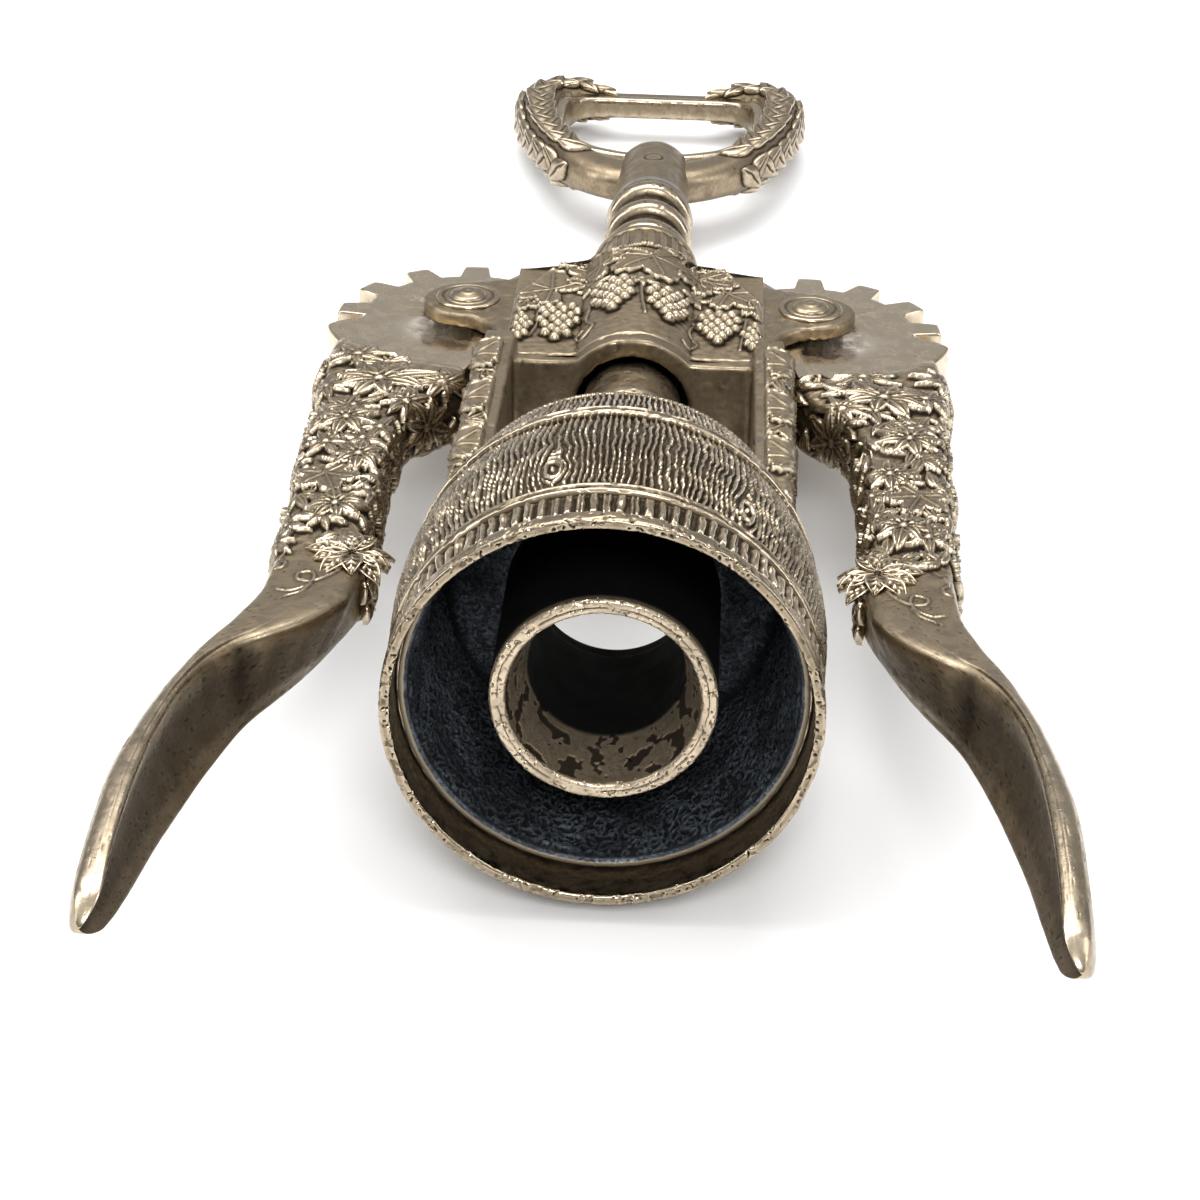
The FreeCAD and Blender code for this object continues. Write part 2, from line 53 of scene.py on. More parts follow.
JOINTS = {joint["name"]: joint for joint in frame["joints"]}
ALONG = -Vector(JOINTS["rack_slide"]["axis"]).normalized()
UPWARD = Vector(JOINTS["right_lever_swing"]["axis"]).normalized()
PIVOT_MIDDLE = (Vector(JOINTS["right_lever_swing"]["pos_m"])
                + Vector(JOINTS["left_lever_swing"]["pos_m"])) / 2
MOUTH = PIVOT_MIDDLE - ALONG * PIVOT_Y * MM
LAY_DOWN = np.array([[1.0, 0.0, 0.0], list(ALONG), list(UPWARD)]) * MM


def laid_down(points):
    """Points of the spindle frame, in millimetres, as metres of the row frame."""
    return np.asarray(points, float) @ LAY_DOWN + np.array(MOUTH)


def stood_up(points):
    """Points of the row frame, in metres, as millimetres of the spindle frame."""
    return (np.asarray(points, float) - np.array(MOUTH)) @ np.linalg.inv(LAY_DOWN)


# ---- Noise and small maths

def smooth(x, low=0.0, high=1.0):
    """Smooth step from 0 at low to 1 at high."""
    t = np.clip((np.asarray(x, float) - low) / (high - low), 0.0, 1.0)
    return t * t * (3 - 2 * t)


def between(x, low, low_full, high_full, high):
    """1 between the two full places, falling smoothly to 0 at the outer two."""
    return smooth(x, low, low_full) * smooth(-x, -high, -high_full)


def close_to(x, full, gone):
    """1 where x is within full of 0, falling smoothly to 0 where it is gone away."""
    return smooth(-np.abs(x), -gone, -full)


def lattice_hash(ix, iy, iz, seed):
    """A number from 0 to 1 for each lattice point."""
    h = (ix * 374761393 + iy * 668265263 + iz * 2147483647 + seed * 974634777) & 0xFFFFFFFF
    h = ((h ^ (h >> 13)) * 1274126177) & 0xFFFFFFFF
    h = ((h ^ (h >> 15)) * 2246822519) & 0xFFFFFFFF
    return ((h ^ (h >> 16)) & 0xFFFFFF) / float(0x1000000)


def noise(x, y, z=0.0, seed=1):
    """Gradient noise, about -1 to 1, with features one unit across."""
    x, y, z = np.broadcast_arrays(np.asarray(x, float), np.asarray(y, float), np.asarray(z, float))
    ix, iy, iz = (np.floor(c).astype(np.int64) for c in (x, y, z))
    fx, fy, fz = x - ix, y - iy, z - iz
    wx, wy, wz = (f * f * f * (f * (f * 6 - 15) + 10) for f in (fx, fy, fz))
    total = np.zeros_like(x)
    for dx in (0, 1):
        for dy in (0, 1):
            for dz in (0, 1):
                spin = lattice_hash(ix + dx, iy + dy, iz + dz, seed) * TAU
                tilt = lattice_hash(ix + dx, iy + dy, iz + dz, seed + 71) * 2 - 1
                flat = np.sqrt(1 - tilt * tilt)
                slope = (np.cos(spin) * flat * (fx - dx) + np.sin(spin) * flat * (fy - dy)
                         + tilt * (fz - dz))
                weight = ((wx if dx else 1 - wx) * (wy if dy else 1 - wy)
                          * (wz if dz else 1 - wz))
                total += weight * slope
    return total * 1.6


def ridged(x, y, z=0.0, seed=1):
    """Noise folded into thin bright ridges, 0 to 1."""
    return np.clip(1 - np.abs(noise(x, y, z, seed)) * 2.4, 0.0, 1.0)


def hermite(u, span, values, slopes, i):
    """Cubic between values i and i + 1 with the slopes given, at u from 0 to 1."""
    return ((2 * u ** 3 - 3 * u ** 2 + 1) * values[i] + (u ** 3 - 2 * u ** 2 + u) * span * slopes[i]
            + (3 * u ** 2 - 2 * u ** 3) * values[i + 1] + (u ** 3 - u ** 2) * span * slopes[i + 1])


def stepped(points, samples):
    """Smooth curve through the points given, as evenly spaced samples."""
    points = np.asarray(points, float)
    lengths = np.r_[0, np.cumsum(np.linalg.norm(np.diff(points, axis=0), axis=1))]
    slopes = np.gradient(points, lengths, axis=0)
    t = np.linspace(0, lengths[-1], samples)
    i = np.clip(np.searchsorted(lengths, t, side="right") - 1, 0, len(points) - 2)
    span = (lengths[i + 1] - lengths[i])[:, None]
    return hermite((t - lengths[i])[:, None] / span, span, points, slopes, i)


def profile(points):
    """A function that gives the second coordinate of the points from the first, smoothly."""
    xs, ys = np.array(points, float).T
    slopes = np.diff(ys) / np.diff(xs)
    tangents = np.zeros(len(xs))
    tangents[0], tangents[-1] = slopes[0], slopes[-1]
    same = slopes[:-1] * slopes[1:] > 0
    tangents[1:-1] = np.where(same, 2 * slopes[:-1] * slopes[1:]
                              / np.where(same, slopes[:-1] + slopes[1:], 1.0), 0.0)

    def value(x):
        x = np.clip(np.asarray(x, float), xs[0], xs[-1])
        i = np.clip(np.searchsorted(xs, x, side="right") - 1, 0, len(xs) - 2)
        span = xs[i + 1] - xs[i]
        return hermite((x - xs[i]) / span, span, ys, tangents, i)
    return value


# ---- Meshes

class Shell:
    """Vertices and faces that are collected and then become one object."""

    def __init__(self):
        self.points = []
        self.faces = []
        self.count = 0

    def add(self, points, faces):
        """Adds a closed block of points and face arrays, turned so that it faces outward."""
        points = np.asarray(points, float).reshape(-1, 3)
        fans = (points[f[:, (0, k, k + 1)]] for f in faces for k in range(1, f.shape[1] - 1))
        volume = sum((fan[:, 0] * np.cross(fan[:, 1], fan[:, 2])).sum() for fan in fans)
        if volume < 0:
            faces = [f[:, ::-1] for f in faces]
        self.points.append(points)
        self.faces += [np.asarray(array, np.int64) + self.count for array in faces]
        self.count += len(points)

    def tube(self, grid):
        """A closed tube from rings of points, grid[ring, place, xyz]; its ends are capped."""
        rings, around = grid.shape[:2]
        index = np.arange(around)
        after = np.roll(index, -1)
        base, total = (rings - 1) * around, rings * around
        faces = [grid_faces(rings, around, True),
                 np.stack([after, index, np.full(around, total)], 1),
                 np.stack([index + base, after + base, np.full(around, total + 1)], 1)]
        middles = [grid[0].mean(0)[None], grid[-1].mean(0)[None]]
        self.add(np.concatenate([grid.reshape(-1, 3), *middles]), faces)

    def loop(self, grid):
        """A closed ring: rings of points that meet themselves both ways."""
        rings, around = grid.shape[:2]
        self.add(grid.reshape(-1, 3), [grid_faces(rings, around, True, True)])


def grid_faces(rows, columns, close_columns, close_rows=False):
    """Quads of a grid of points."""
    r = np.arange(rows if close_rows else rows - 1)
    c = np.arange(columns if close_columns else columns - 1)
    r, c = np.meshgrid(r, c, indexing="ij")
    r2, c2 = (r + 1) % rows, (c + 1) % columns
    return np.stack([r * columns + c, r * columns + c2, r2 * columns + c2, r2 * columns + c],
                    -1).reshape(-1, 4)


def mesh_from(points, faces):
    """A Blender mesh from an array of points and a list of face arrays."""
    mesh = bpy.data.meshes.new("mesh")
    corners = np.concatenate([f.reshape(-1) for f in faces]).astype(np.int32)
    sizes = np.concatenate([np.full(len(f), f.shape[1]) for f in faces]).astype(np.int32)
    starts = np.r_[0, np.cumsum(sizes)[:-1]].astype(np.int32)
    mesh.vertices.add(len(points))
    mesh.vertices.foreach_set("co", np.asarray(points, np.float32).reshape(-1))
    mesh.loops.add(len(corners))
    mesh.loops.foreach_set("vertex_index", corners)
    mesh.polygons.add(len(sizes))
    mesh.polygons.foreach_set("loop_start", starts)
    mesh.polygons.foreach_set("loop_total", sizes)
    mesh.update(calc_edges=True)
    mesh.validate()
    return mesh


def move_points(mesh, points):
    """Puts the vertices of a mesh at these points."""
    mesh.vertices.foreach_set("co", np.asarray(points, np.float32).reshape(-1))
    mesh.update()


def mesh_points(mesh):
    """The vertices of a mesh as an array."""
    points = np.zeros(len(mesh.vertices) * 3, np.float32)
    mesh.vertices.foreach_get("co", points)
    return points.reshape(-1, 3).astype(float)


def vertex_normals(mesh):
    """The vertex normals of a mesh as an array."""
    normals = np.zeros(len(mesh.vertices) * 3, np.float32)
    mesh.vertex_normals.foreach_get("vector", normals)
    return normals.reshape(-1, 3).astype(float)


def neighbour_mean(values, edges, counts):
    """Each vertex's mean over its neighbours."""
    total = np.zeros_like(values)
    for k in range(values.shape[1]):
        total[:, k] = (np.bincount(edges[:, 0], values[edges[:, 1], k], len(values))
                       + np.bincount(edges[:, 1], values[edges[:, 0], k], len(values)))
    return total / counts[:, None]


def mesh_edges(mesh):
    """Edges and each vertex's number of neighbours."""
    edges = np.zeros(len(mesh.edges) * 2, np.int32)
    mesh.edges.foreach_get("vertices", edges)
    edges = edges.reshape(-1, 2)
    counts = np.bincount(edges.reshape(-1), minlength=len(mesh.vertices)).astype(float)
    return edges, np.maximum(counts, 1)


def store(mesh, name, values):
    """Stores a value for each vertex, for the materials."""
    attribute = mesh.attributes.new(name, "FLOAT", "POINT")
    attribute.data.foreach_set("value", np.asarray(values, np.float32).reshape(-1))


def add_relief_attributes(mesh, fine_mm=0.10, broad_mm=0.28):
    """Stores how far each vertex lies in a recess or on a high spot, at two scales, as 'recess'.

    0 is a sharp high spot, 0.5 is level and 1 is a deep recess."""
    points = mesh_points(mesh) / MM
    normals = vertex_normals(mesh)
    edges, counts = mesh_edges(mesh)
    soft = points.copy()
    recess = np.zeros(len(points))
    for step in range(1, 25):
        soft = soft * 0.4 + neighbour_mean(soft, edges, counts) * 0.6
        if step == 3:
            recess += 0.45 * np.tanh(((soft - points) * normals).sum(1) / fine_mm)
    recess += 0.55 * np.tanh(((soft - points) * normals).sum(1) / broad_mm)
    store(mesh, "recess", np.clip(0.5 + 0.5 * recess, 0, 1))


def linked(name, data):
    """A new object in the scene."""
    thing = bpy.data.objects.new(name, data)
    bpy.context.scene.collection.objects.link(thing)
    return thing


def finish_piece(name, mesh, material, body, replaced=(), relief=True):
    mesh.polygons.foreach_set("use_smooth", np.ones(len(mesh.polygons), bool))
    if relief:
        add_relief_attributes(mesh)
    mesh.materials.append(material)
    mesh.name = name
    piece = linked(name, mesh)
    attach(piece, body)
    if replaced:
        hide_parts(*replaced)
    return piece


def shell_piece(name, shell, material, body, replaced=(), relief=True):
    """Makes the object of a Shell that is in millimetres of the spindle frame."""
    mesh = mesh_from(laid_down(np.concatenate(shell.points)), shell.faces)
    return finish_piece(name, mesh, material, body, replaced, relief)


def turned_points(y, r, angle):
    """Points of the spindle frame from position along the axis, radius and angle."""
    return np.stack([r * np.cos(angle), y, r * np.sin(angle)], -1)


# ---- Materials

class Look:
    """A node tree being drawn. Colours, values and sockets can each be given to any input."""

    def __init__(self, tree):
        self.tree = tree
        self.shader = None
        self.place = None

    def feed(self, socket, value):
        """Links or sets one input."""
        if isinstance(value, bpy.types.NodeSocket):
            self.tree.links.new(value, socket)
        elif isinstance(value, tuple):
            socket.default_value = (*value, 1.0)
        else:
            socket.default_value = value

    def node(self, kind, inputs=(), output=0, **settings):
        """A node with its inputs fed and its settings made; returns one output."""
        node = self.tree.nodes.new("ShaderNode" + kind)
        for key, value in settings.items():
            setattr(node, key, value)
        for key, value in dict(inputs).items():
            self.feed(node.inputs[key], value)
        return node.outputs[output]

    def attribute(self, name):
        """A value stored on the mesh."""
        return self.node("Attribute", output="Fac", attribute_name=name)

    def noise(self, per_mm, detail=4.0, roughness=0.55, distortion=0.0):
        """Noise that stays with the piece, with that many features per millimetre."""
        if self.place is None:
            self.place = self.node("TexCoord", output="Object")
        return self.node("TexNoise", {"Scale": per_mm / MM, "Detail": detail, "Roughness": roughness,
                                      "Distortion": distortion, "Vector": self.place}, "Fac")

    def ramp(self, value, stops):
        """Colour ramp through (position, colour) stops."""
        output = self.node("ValToRGB", {"Fac": value}, "Color")
        elements = output.node.color_ramp.elements
        while len(elements) < len(stops):
            elements.new(0.5)
        for element, (position, colour) in zip(elements, stops):
            element.position = position
            element.color = (*colour, 1.0)
        return output

    def range(self, value, low, high, to_low=0.0, to_high=1.0, kind="SMOOTHSTEP"):
        """Maps a value from one range to another, clamped."""
        return self.node("MapRange", {"Value": value, "From Min": low, "From Max": high,
                                      "To Min": to_low, "To Max": to_high},
                         "Result", interpolation_type=kind)

    def math(self, operation, *values):
        """One sum, product or the like."""
        return self.node("Math", enumerate(values), operation=operation)

    def mix(self, factor, a, b):
        """Mix of two colours."""
        return self.node("Mix", {0: factor, 6: a, 7: b}, 2, data_type="RGBA")

    def finish(self, colour, roughness, metallic, height, distance_mm, strength):
        """Feeds the Principled shader, with a bump of that depth."""
        bump = self.node("Bump", {"Distance": distance_mm * MM, "Strength": strength,
                                  "Height": height}, "Normal")
        for key, value in (("Base Color", colour), ("Roughness", roughness),
                           ("Metallic", metallic), ("Normal", bump)):
            self.feed(self.shader.inputs[key], value)


def new_look(name):
    """An empty node material with its Principled shader; returns the material and its Look."""
    material = bpy.data.materials.new(name)
    material.use_nodes = True
    look = Look(material.node_tree)
    look.tree.nodes.clear()
    shader = look.node("BsdfPrincipled")
    output = look.tree.nodes.new("ShaderNodeOutputMaterial")
    look.tree.links.new(shader, output.inputs["Surface"])
    look.shader = shader.node
    return material, look


def antique_metal(name, tone=(0.245, 0.192, 0.126), bright=(0.60, 0.505, 0.375),
                  dark=(0.020, 0.015, 0.010), rough=(0.20, 0.42), pits=0.5, dense=True,
                  stained=0.42):
    """Antiqued nickel over brass: dark in the recesses, rubbed bright on the high spots, pitted."""
    material, look = new_look(name)
    cloud = look.noise(0.11, 3.0)
    grain = look.noise(1.6, 6.0, 0.62)
    smudge = look.noise(0.45, 5.0, 0.6, 0.6)
    pit_noise = look.noise(0.9, 2.0, 0.4)
    pit_fine = look.noise(2.3, 1.0, 0.4)
    pit_mask = look.math("MAXIMUM",
                         look.range(pit_noise, 0.735, 0.78),
                         look.range(pit_fine, 0.74, 0.79))
    pit_mask = look.math("MULTIPLY", pit_mask, pits)
    if dense:
        level = look.attribute("recess")
    else:
        level = look.range(cloud, 0.2, 0.8, 0.40, 0.56)
    level = look.math("ADD", level, look.math("MULTIPLY_ADD", grain, 0.16, -0.08))
    colour = look.ramp(level, [
        (0.20, bright), (0.36, tuple(0.5 * (t + b) for t, b in zip(tone, bright))), (0.49, tone),
        (0.60, tuple(0.34 * t + 0.5 * d for t, d in zip(tone, dark))), (0.74, dark)])
    stain = look.range(smudge, 0.45, 0.72, 0.0, stained)
    colour = look.mix(stain, colour, tuple(0.45 * t for t in tone))
    veil = look.range(cloud, 0.45, 0.8, 0.0, 0.05)
    colour = look.mix(veil, colour, bright)
    colour = look.mix(pit_mask, colour, dark)
    roughness = look.range(level, 0.30, 0.75, rough[0], rough[1] + 0.25)
    roughness = look.math("ADD", roughness,
                          look.range(smudge, 0.3, 0.7, -0.06, 0.14))
    height = look.math("MULTIPLY_ADD", grain, 0.5, look.math("MULTIPLY", pit_mask, -1.6))
    look.finish(colour, roughness, 1.0, height, 0.05, 0.55)
    return material


def blackened_metal(name):
    """Blackened rough casting with a blue-grey bloom on its ridges."""
    material, look = new_look(name)
    worms = look.noise(1.3, 5.0, 0.6, 1.4)
    cloud = look.noise(0.16, 3.0)
    recess = look.attribute("recess")
    level = look.math("ADD", recess,
                      look.range(worms, 0.3, 0.7, 0.16, -0.16))
    colour = look.ramp(level, [
        (0.18, (0.24, 0.275, 0.31)), (0.40, (0.085, 0.10, 0.118)), (0.58, (0.020, 0.024, 0.028)),
        (0.75, (0.004, 0.004, 0.005))])
    veil = look.range(cloud, 0.40, 0.62, 0.0, 0.6)
    colour = look.mix(veil, colour, (0.008, 0.009, 0.011))
    edge = look.attribute("edge")
    colour = look.mix(edge, colour, (0.30, 0.245, 0.17))
    look.finish(colour, look.range(level, 0.2, 0.7, 0.42, 0.85), 0.6, worms, 0.12, 0.8)
    return material


def turned_steel(name, colour=(0.42, 0.40, 0.37), rough=0.28):
    """Plain steel with fine turning marks and light tarnish."""
    material, look = new_look(name)
    fine = look.noise(3.0, 4.0)
    cloud = look.noise(0.4, 4.0)
    mixed = look.mix(look.range(cloud, 0.4, 0.7, 0.0, 0.6), colour,
                     tuple(0.45 * c for c in colour))
    look.finish(mixed, look.range(cloud, 0.3, 0.7, rough, rough + 0.2), 1.0, fine, 0.01, 0.5)
    return material


PLAIN_ANTIQUE = antique_metal("antique_plain", dense=False)
BLACKENED = blackened_metal("blackened_liner")
STEEL = turned_steel("turned_steel")
WORM_STEEL = turned_steel("worm_steel", (0.55, 0.53, 0.50), 0.2)

STEEL_NODES = ("barrel_screws", "seat_tube_nut", "right_gear_shims", "left_gear_shims", "spindle_shaft",
               "retaining_collar", "collar_pin", "thrust_washer")
for node_name, node in frame["nodes"].items():
    node.data.materials.clear()
    node.data.materials.append(WORM_STEEL if node_name == "worm" else
                               STEEL if node_name in STEEL_NODES else PLAIN_ANTIQUE)


def worn_seat_metal(name):
    """Bright worn metal with dark flakes in the funnel and pits; the bore and the tube's outside are
    painted near black as shade.
    """
    material, look = new_look(name)
    grain = look.noise(1.8, 5.0, 0.6)
    cloud = look.noise(0.25, 4.0)
    pit_noise = look.noise(1.1, 2.0, 0.4)
    flake = look.attribute("flake")
    bore = look.attribute("bore")
    recess = look.attribute("recess")
    level = look.math("ADD", recess,
                      look.range(grain, 0.2, 0.8, -0.08, 0.08))
    colour = look.ramp(level, [
        (0.25, (0.72, 0.61, 0.46)), (0.50, (0.50, 0.405, 0.285)), (0.64, (0.16, 0.12, 0.08)),
        (0.78, (0.02, 0.014, 0.01))])
    stain = look.range(cloud, 0.42, 0.66, 0.0, 0.5)
    colour = look.mix(stain, colour, (0.22, 0.175, 0.12))
    colour = look.mix(flake, colour, (0.045, 0.034, 0.024))
    pits = look.range(pit_noise, 0.70, 0.74)
    colour = look.mix(pits, colour, (0.012, 0.009, 0.007))
    # Painted shade: the 'bore' value paints the deep bore and the tube's outside near black.
    colour = look.mix(bore, colour, (0.004, 0.004, 0.004))
    base = look.range(cloud, 0.3, 0.7, 0.24, 0.36)
    rough = look.math("ADD", base,
                      look.math("MULTIPLY", flake, 0.28))
    rough = look.math("ADD", rough,
                      look.math("MULTIPLY", bore, 0.55))
    height = look.math("MULTIPLY_ADD", grain, 0.4, look.math("MULTIPLY", pits, -1.5))
    look.finish(colour, rough, 0.8, height, 0.05, 0.5)
    return material


SEAT = worn_seat_metal("worn_seat")
BARREL = antique_metal("antique_barrel", pits=0.4)
LEVER = antique_metal("antique_lever", pits=0.6, stained=0.2)
CASTING = antique_metal("antique_frame", pits=0.7)
RELIEF = antique_metal("antique_relief", bright=(0.46, 0.385, 0.28), rough=(0.30, 0.50), pits=0.3)
HANDLE = antique_metal("antique_handle", pits=0.5)
RACK = antique_metal("rack_metal_worn", pits=0.5)
RIVET = antique_metal("rivet_metal_worn", pits=0.4)


# ---- Barrel: shell with wood grain, hoops and ribs; blackened liner; worn seat tube

BARREL_R = 25.0
GRAIN_LINES = 196       # ridges of the wood grain round the barrel
RUNG_GAP = 0.95         # from one rung or knot ring to the next
KNOTS = 7
RIBS = 104              # upright ribs round the band behind the rim


def spaced_outline(stops):
    """Closed outline from (y, r, spacing) stops, where spacing holds from that stop to the next."""
    rows = []
    for (y0, r0, gap), (y1, r1, _) in zip(stops, stops[1:] + stops[:1]):
        pieces = max(1, int(round(math.hypot(y1 - y0, r1 - r0) / gap)))
        t = np.arange(pieces) / pieces
        rows.append(np.stack([y0 + (y1 - y0) * t, r0 + (r1 - r0) * t], 1))
    return np.concatenate(rows)


def around_axis(outline, around):
    """y, r and angle of every point of a lathed outline."""
    angle = np.linspace(0, TAU, around, endpoint=False)
    y = np.repeat(outline[:, :1], around, 1)
    r = np.repeat(outline[:, 1:], around, 1)
    return y, r, np.repeat(angle[None], len(outline), 0)


def noise_round(radius, y, angle):
    """Noise on points about the spindle, by features per millimetre around and along it."""
    u, w = radius * np.cos(angle), radius * np.sin(angle)
    return lambda around, along, seed: noise(u * around, y * along, w * around, seed)


def wood_grain(y, angle, lines, radius, seed):
    """Height 0 to 1 of wavy wood grain that runs along the barrel and bends round knots."""
    skin = noise_round(radius, y, angle)
    chooser = np.random.default_rng(seed)
    phase = lines * angle
    rings = np.zeros_like(y)
    inside = np.zeros_like(y)
    for k in range(KNOTS):
        centre_angle = TAU * (k + 0.7 * chooser.random()) / KNOTS
        centre_y = chooser.uniform(11.5, 27.5)
        reach = chooser.uniform(0.8, 1.4)
        across = (angle - centre_angle + math.pi) % TAU - math.pi
        dx = across * radius
        dy = (y - centre_y) * 0.55
        rho = np.sqrt(dx * dx + dy * dy) + 1e-6
        phase = phase - lines / radius * dx * np.minimum(reach ** 2 / rho ** 2, 1.0) * \
            smooth(-rho, -7.0 * reach, -2.5 * reach)
        core = smooth(-rho, -reach * 1.05, -reach * 0.85)
        waver = rho * TAU / RUNG_GAP + 1.1 * dx + 1.2 * noise(dx, y, 0.0, seed + 8)
        rings = rings + core * smooth(np.cos(waver), -0.2, 0.6)
        inside = np.maximum(inside, core)
    phase = (phase + 3.6 * skin(0.16, 0.14, seed)
             + 2.5 * skin(0.40, 0.36, seed + 1)
             + 1.35 * skin(0.95, 0.90, seed + 2))
    width = -0.10 + 0.35 * skin(0.5, 0.2, seed + 3)
    lines_height = smooth(np.cos(phase) + width, -0.15, 0.55)
    fork = smooth(skin(0.8, 0.22, seed + 4), 0.12, 0.45)
    second = smooth(np.cos(phase * 2 + 1.0), 0.0, 0.7)
    lines_height = lines_height * (1 - fork) + lines_height * second * fork
    ladder = smooth(skin(0.4, 0.3, seed + 5), 0.16, 0.36)
    rungs = smooth(np.cos(y * TAU / RUNG_GAP + 2.2 * skin(0.7, 0.5, seed + 6)), -0.7, -0.1)
    lines_height = lines_height * (1 - 0.55 * ladder * (1 - rungs))
    height = lines_height * (1 - inside) + rings * inside
    fine = skin(2.2, 1.6, seed + 7)
    return np.clip(height * 0.9 + 0.07 * fine, 0, 1)


def barrel_height(y, r, angle):
    """Radial change in millimetres of the barrel's outside."""
    u, w = BARREL_R * np.cos(angle), BARREL_R * np.sin(angle)
    skin = noise_round(BARREL_R, y, angle)
    grain = wood_grain(y, angle, GRAIN_LINES, BARREL_R, 11)
    body = between(y, 9.25, 9.6, 40.4, 40.8) * (1 - between(y, 28.7, 28.95, 31.05, 31.3))
    change = -0.52 * (1 - grain) * body
    slant = 0.55 * noise(u * 0.08, 0.5, w * 0.08, 21) * y
    rib_phase = RIBS * angle + 1.3 * skin(0.22, 0.1, 22) + slant \
        + 0.5 * skin(0.9, 0.8, 23)
    rib = smooth(np.cos(rib_phase) + 0.35, -0.45, 0.75)
    rib = rib * (0.72 + 0.4 * skin(0.6, 0.45, 24))
    band = between(y, 2.35, 2.9, 6.6, 7.15)
    change = change + band * (0.78 * rib - 0.1)
    split = smooth(np.cos(rib_phase * 0.5 + 2.0 * noise(u * 0.2, 0.0, w * 0.2, 25)), 0.90, 0.99)
    change = change - band * 0.25 * split
    for low, high in ((7.3, 9.15), (28.85, 31.15)):
        hoop = between(y, low, low + 0.15, high - 0.15, high)
        lip = np.maximum(close_to(y - low - 0.35, 0.1, 0.32),
                         close_to(y - high + 0.35, 0.1, 0.32))
        dents = smooth(noise(angle * 14, y * 1.3, 3.0, 26) + 0.4 * skin(1.4, 2.2, 27),
                       0.05, 0.40)
        change = change - hoop * (1 - lip) * (0.16 + 0.26 * dents) - hoop * lip * 0.12 * smooth(
            skin(0.8, 1.0, 28), 0.2, 0.5)
    return change


def worn_rim(y, r, angle, seed, depth=0.30):
    """Millimetres worn off a rim: long dents, chips and pits."""
    skin = noise_round(r, y, angle)
    dents = smooth(skin(0.45, 0.5, seed) + 0.5 * skin(1.3, 1.0, seed + 1),
                   0.10, 0.42)
    pits = smooth(skin(1.9, 1.9, seed + 2), 0.38, 0.52)
    return depth * (0.45 * dents + 0.8 * pits)


def build_barrel_shell():
    """The barrel's wall, open where the liner and the web lie in it."""
    outline = spaced_outline([
        (0.0, 24.60, 0.12), (0.12, 24.85, 0.12), (0.45, 24.94, 0.14), (1.9, 24.96, 0.14),
        (2.35, 24.25, 0.17), (7.2, 24.3, 0.15), (7.4, 24.95, 0.17), (9.05, 25.0, 0.15),
        (9.3, 24.72, 0.24), (13.6, 25.30, 0.24), (18.0, 25.49, 0.24), (22.4, 25.28, 0.24),
        (26.0, 24.78, 0.24), (28.75, 24.15, 0.15), (29.0, 24.6, 0.17), (31.0, 24.3, 0.15),
        (31.2, 23.6, 0.26), (36.2, 22.6, 0.26), (40.9, 21.6, 0.2), (41.0, 21.3, 0.3),
        (41.0, 20.02, 0.8), (34.5, 20.02, 0.6), (34.5, 16.0, 0.8), (31.02, 16.0, 0.8),
        (31.02, 20.91, 0.8), (6.02, 23.01, 0.4), (6.0, 23.66, 0.35), (0.25, 23.68, 0.12),
        (0.08, 23.8, 0.12), (0.0, 24.0, 0.12)])
    y, r, angle = around_axis(outline, 1176)
    outer = np.zeros(len(outline), bool)
    outer[:np.argmax((outline[:, 0] >= 41.0))] = True
    outer = outer[:, None]
    change = np.where(outer, barrel_height(y, r, angle), 0.0)
    rim = (y < 2.1) & (r > 23.6)
    side = smooth(r, 24.4, 24.9)
    worn = worn_rim(y, r, angle, 31)
    r = r + change - np.where(rim, worn * side, 0.0)
    y = y + np.where(rim & (y < 1.2), worn * (1 - side) * smooth(-y, -1.2, 0.0), 0.0)
    wall = (~outer) & (y < 6.1) & (y > 0.5) & (r > 23.2)
    skin = noise_round(r, y, angle)
    r = r + np.where(wall, 0.07 * skin(0.5, 0.7, 33)
                     + 0.04 * skin(1.6, 2.0, 34), 0.0)
    shell = Shell()
    shell.loop(turned_points(y, r, angle))
    shell_piece("barrel_shell_visual", shell, BARREL, "frame", ["barrel_shell"])


def shift_recess(mesh, change):
    """Adds to the 'recess' value of a mesh's first vertices: up is darker and down is lighter; it
    paints shade into the lever dish and the frame's window.
    """
    attribute = mesh.attributes["recess"]
    recess = np.empty(len(mesh.vertices), np.float32)
    attribute.data.foreach_get("value", recess)
    recess[:change.size] = np.clip(recess[:change.size] + change.reshape(-1), 0, 1)
    attribute.data.foreach_set("value", recess)


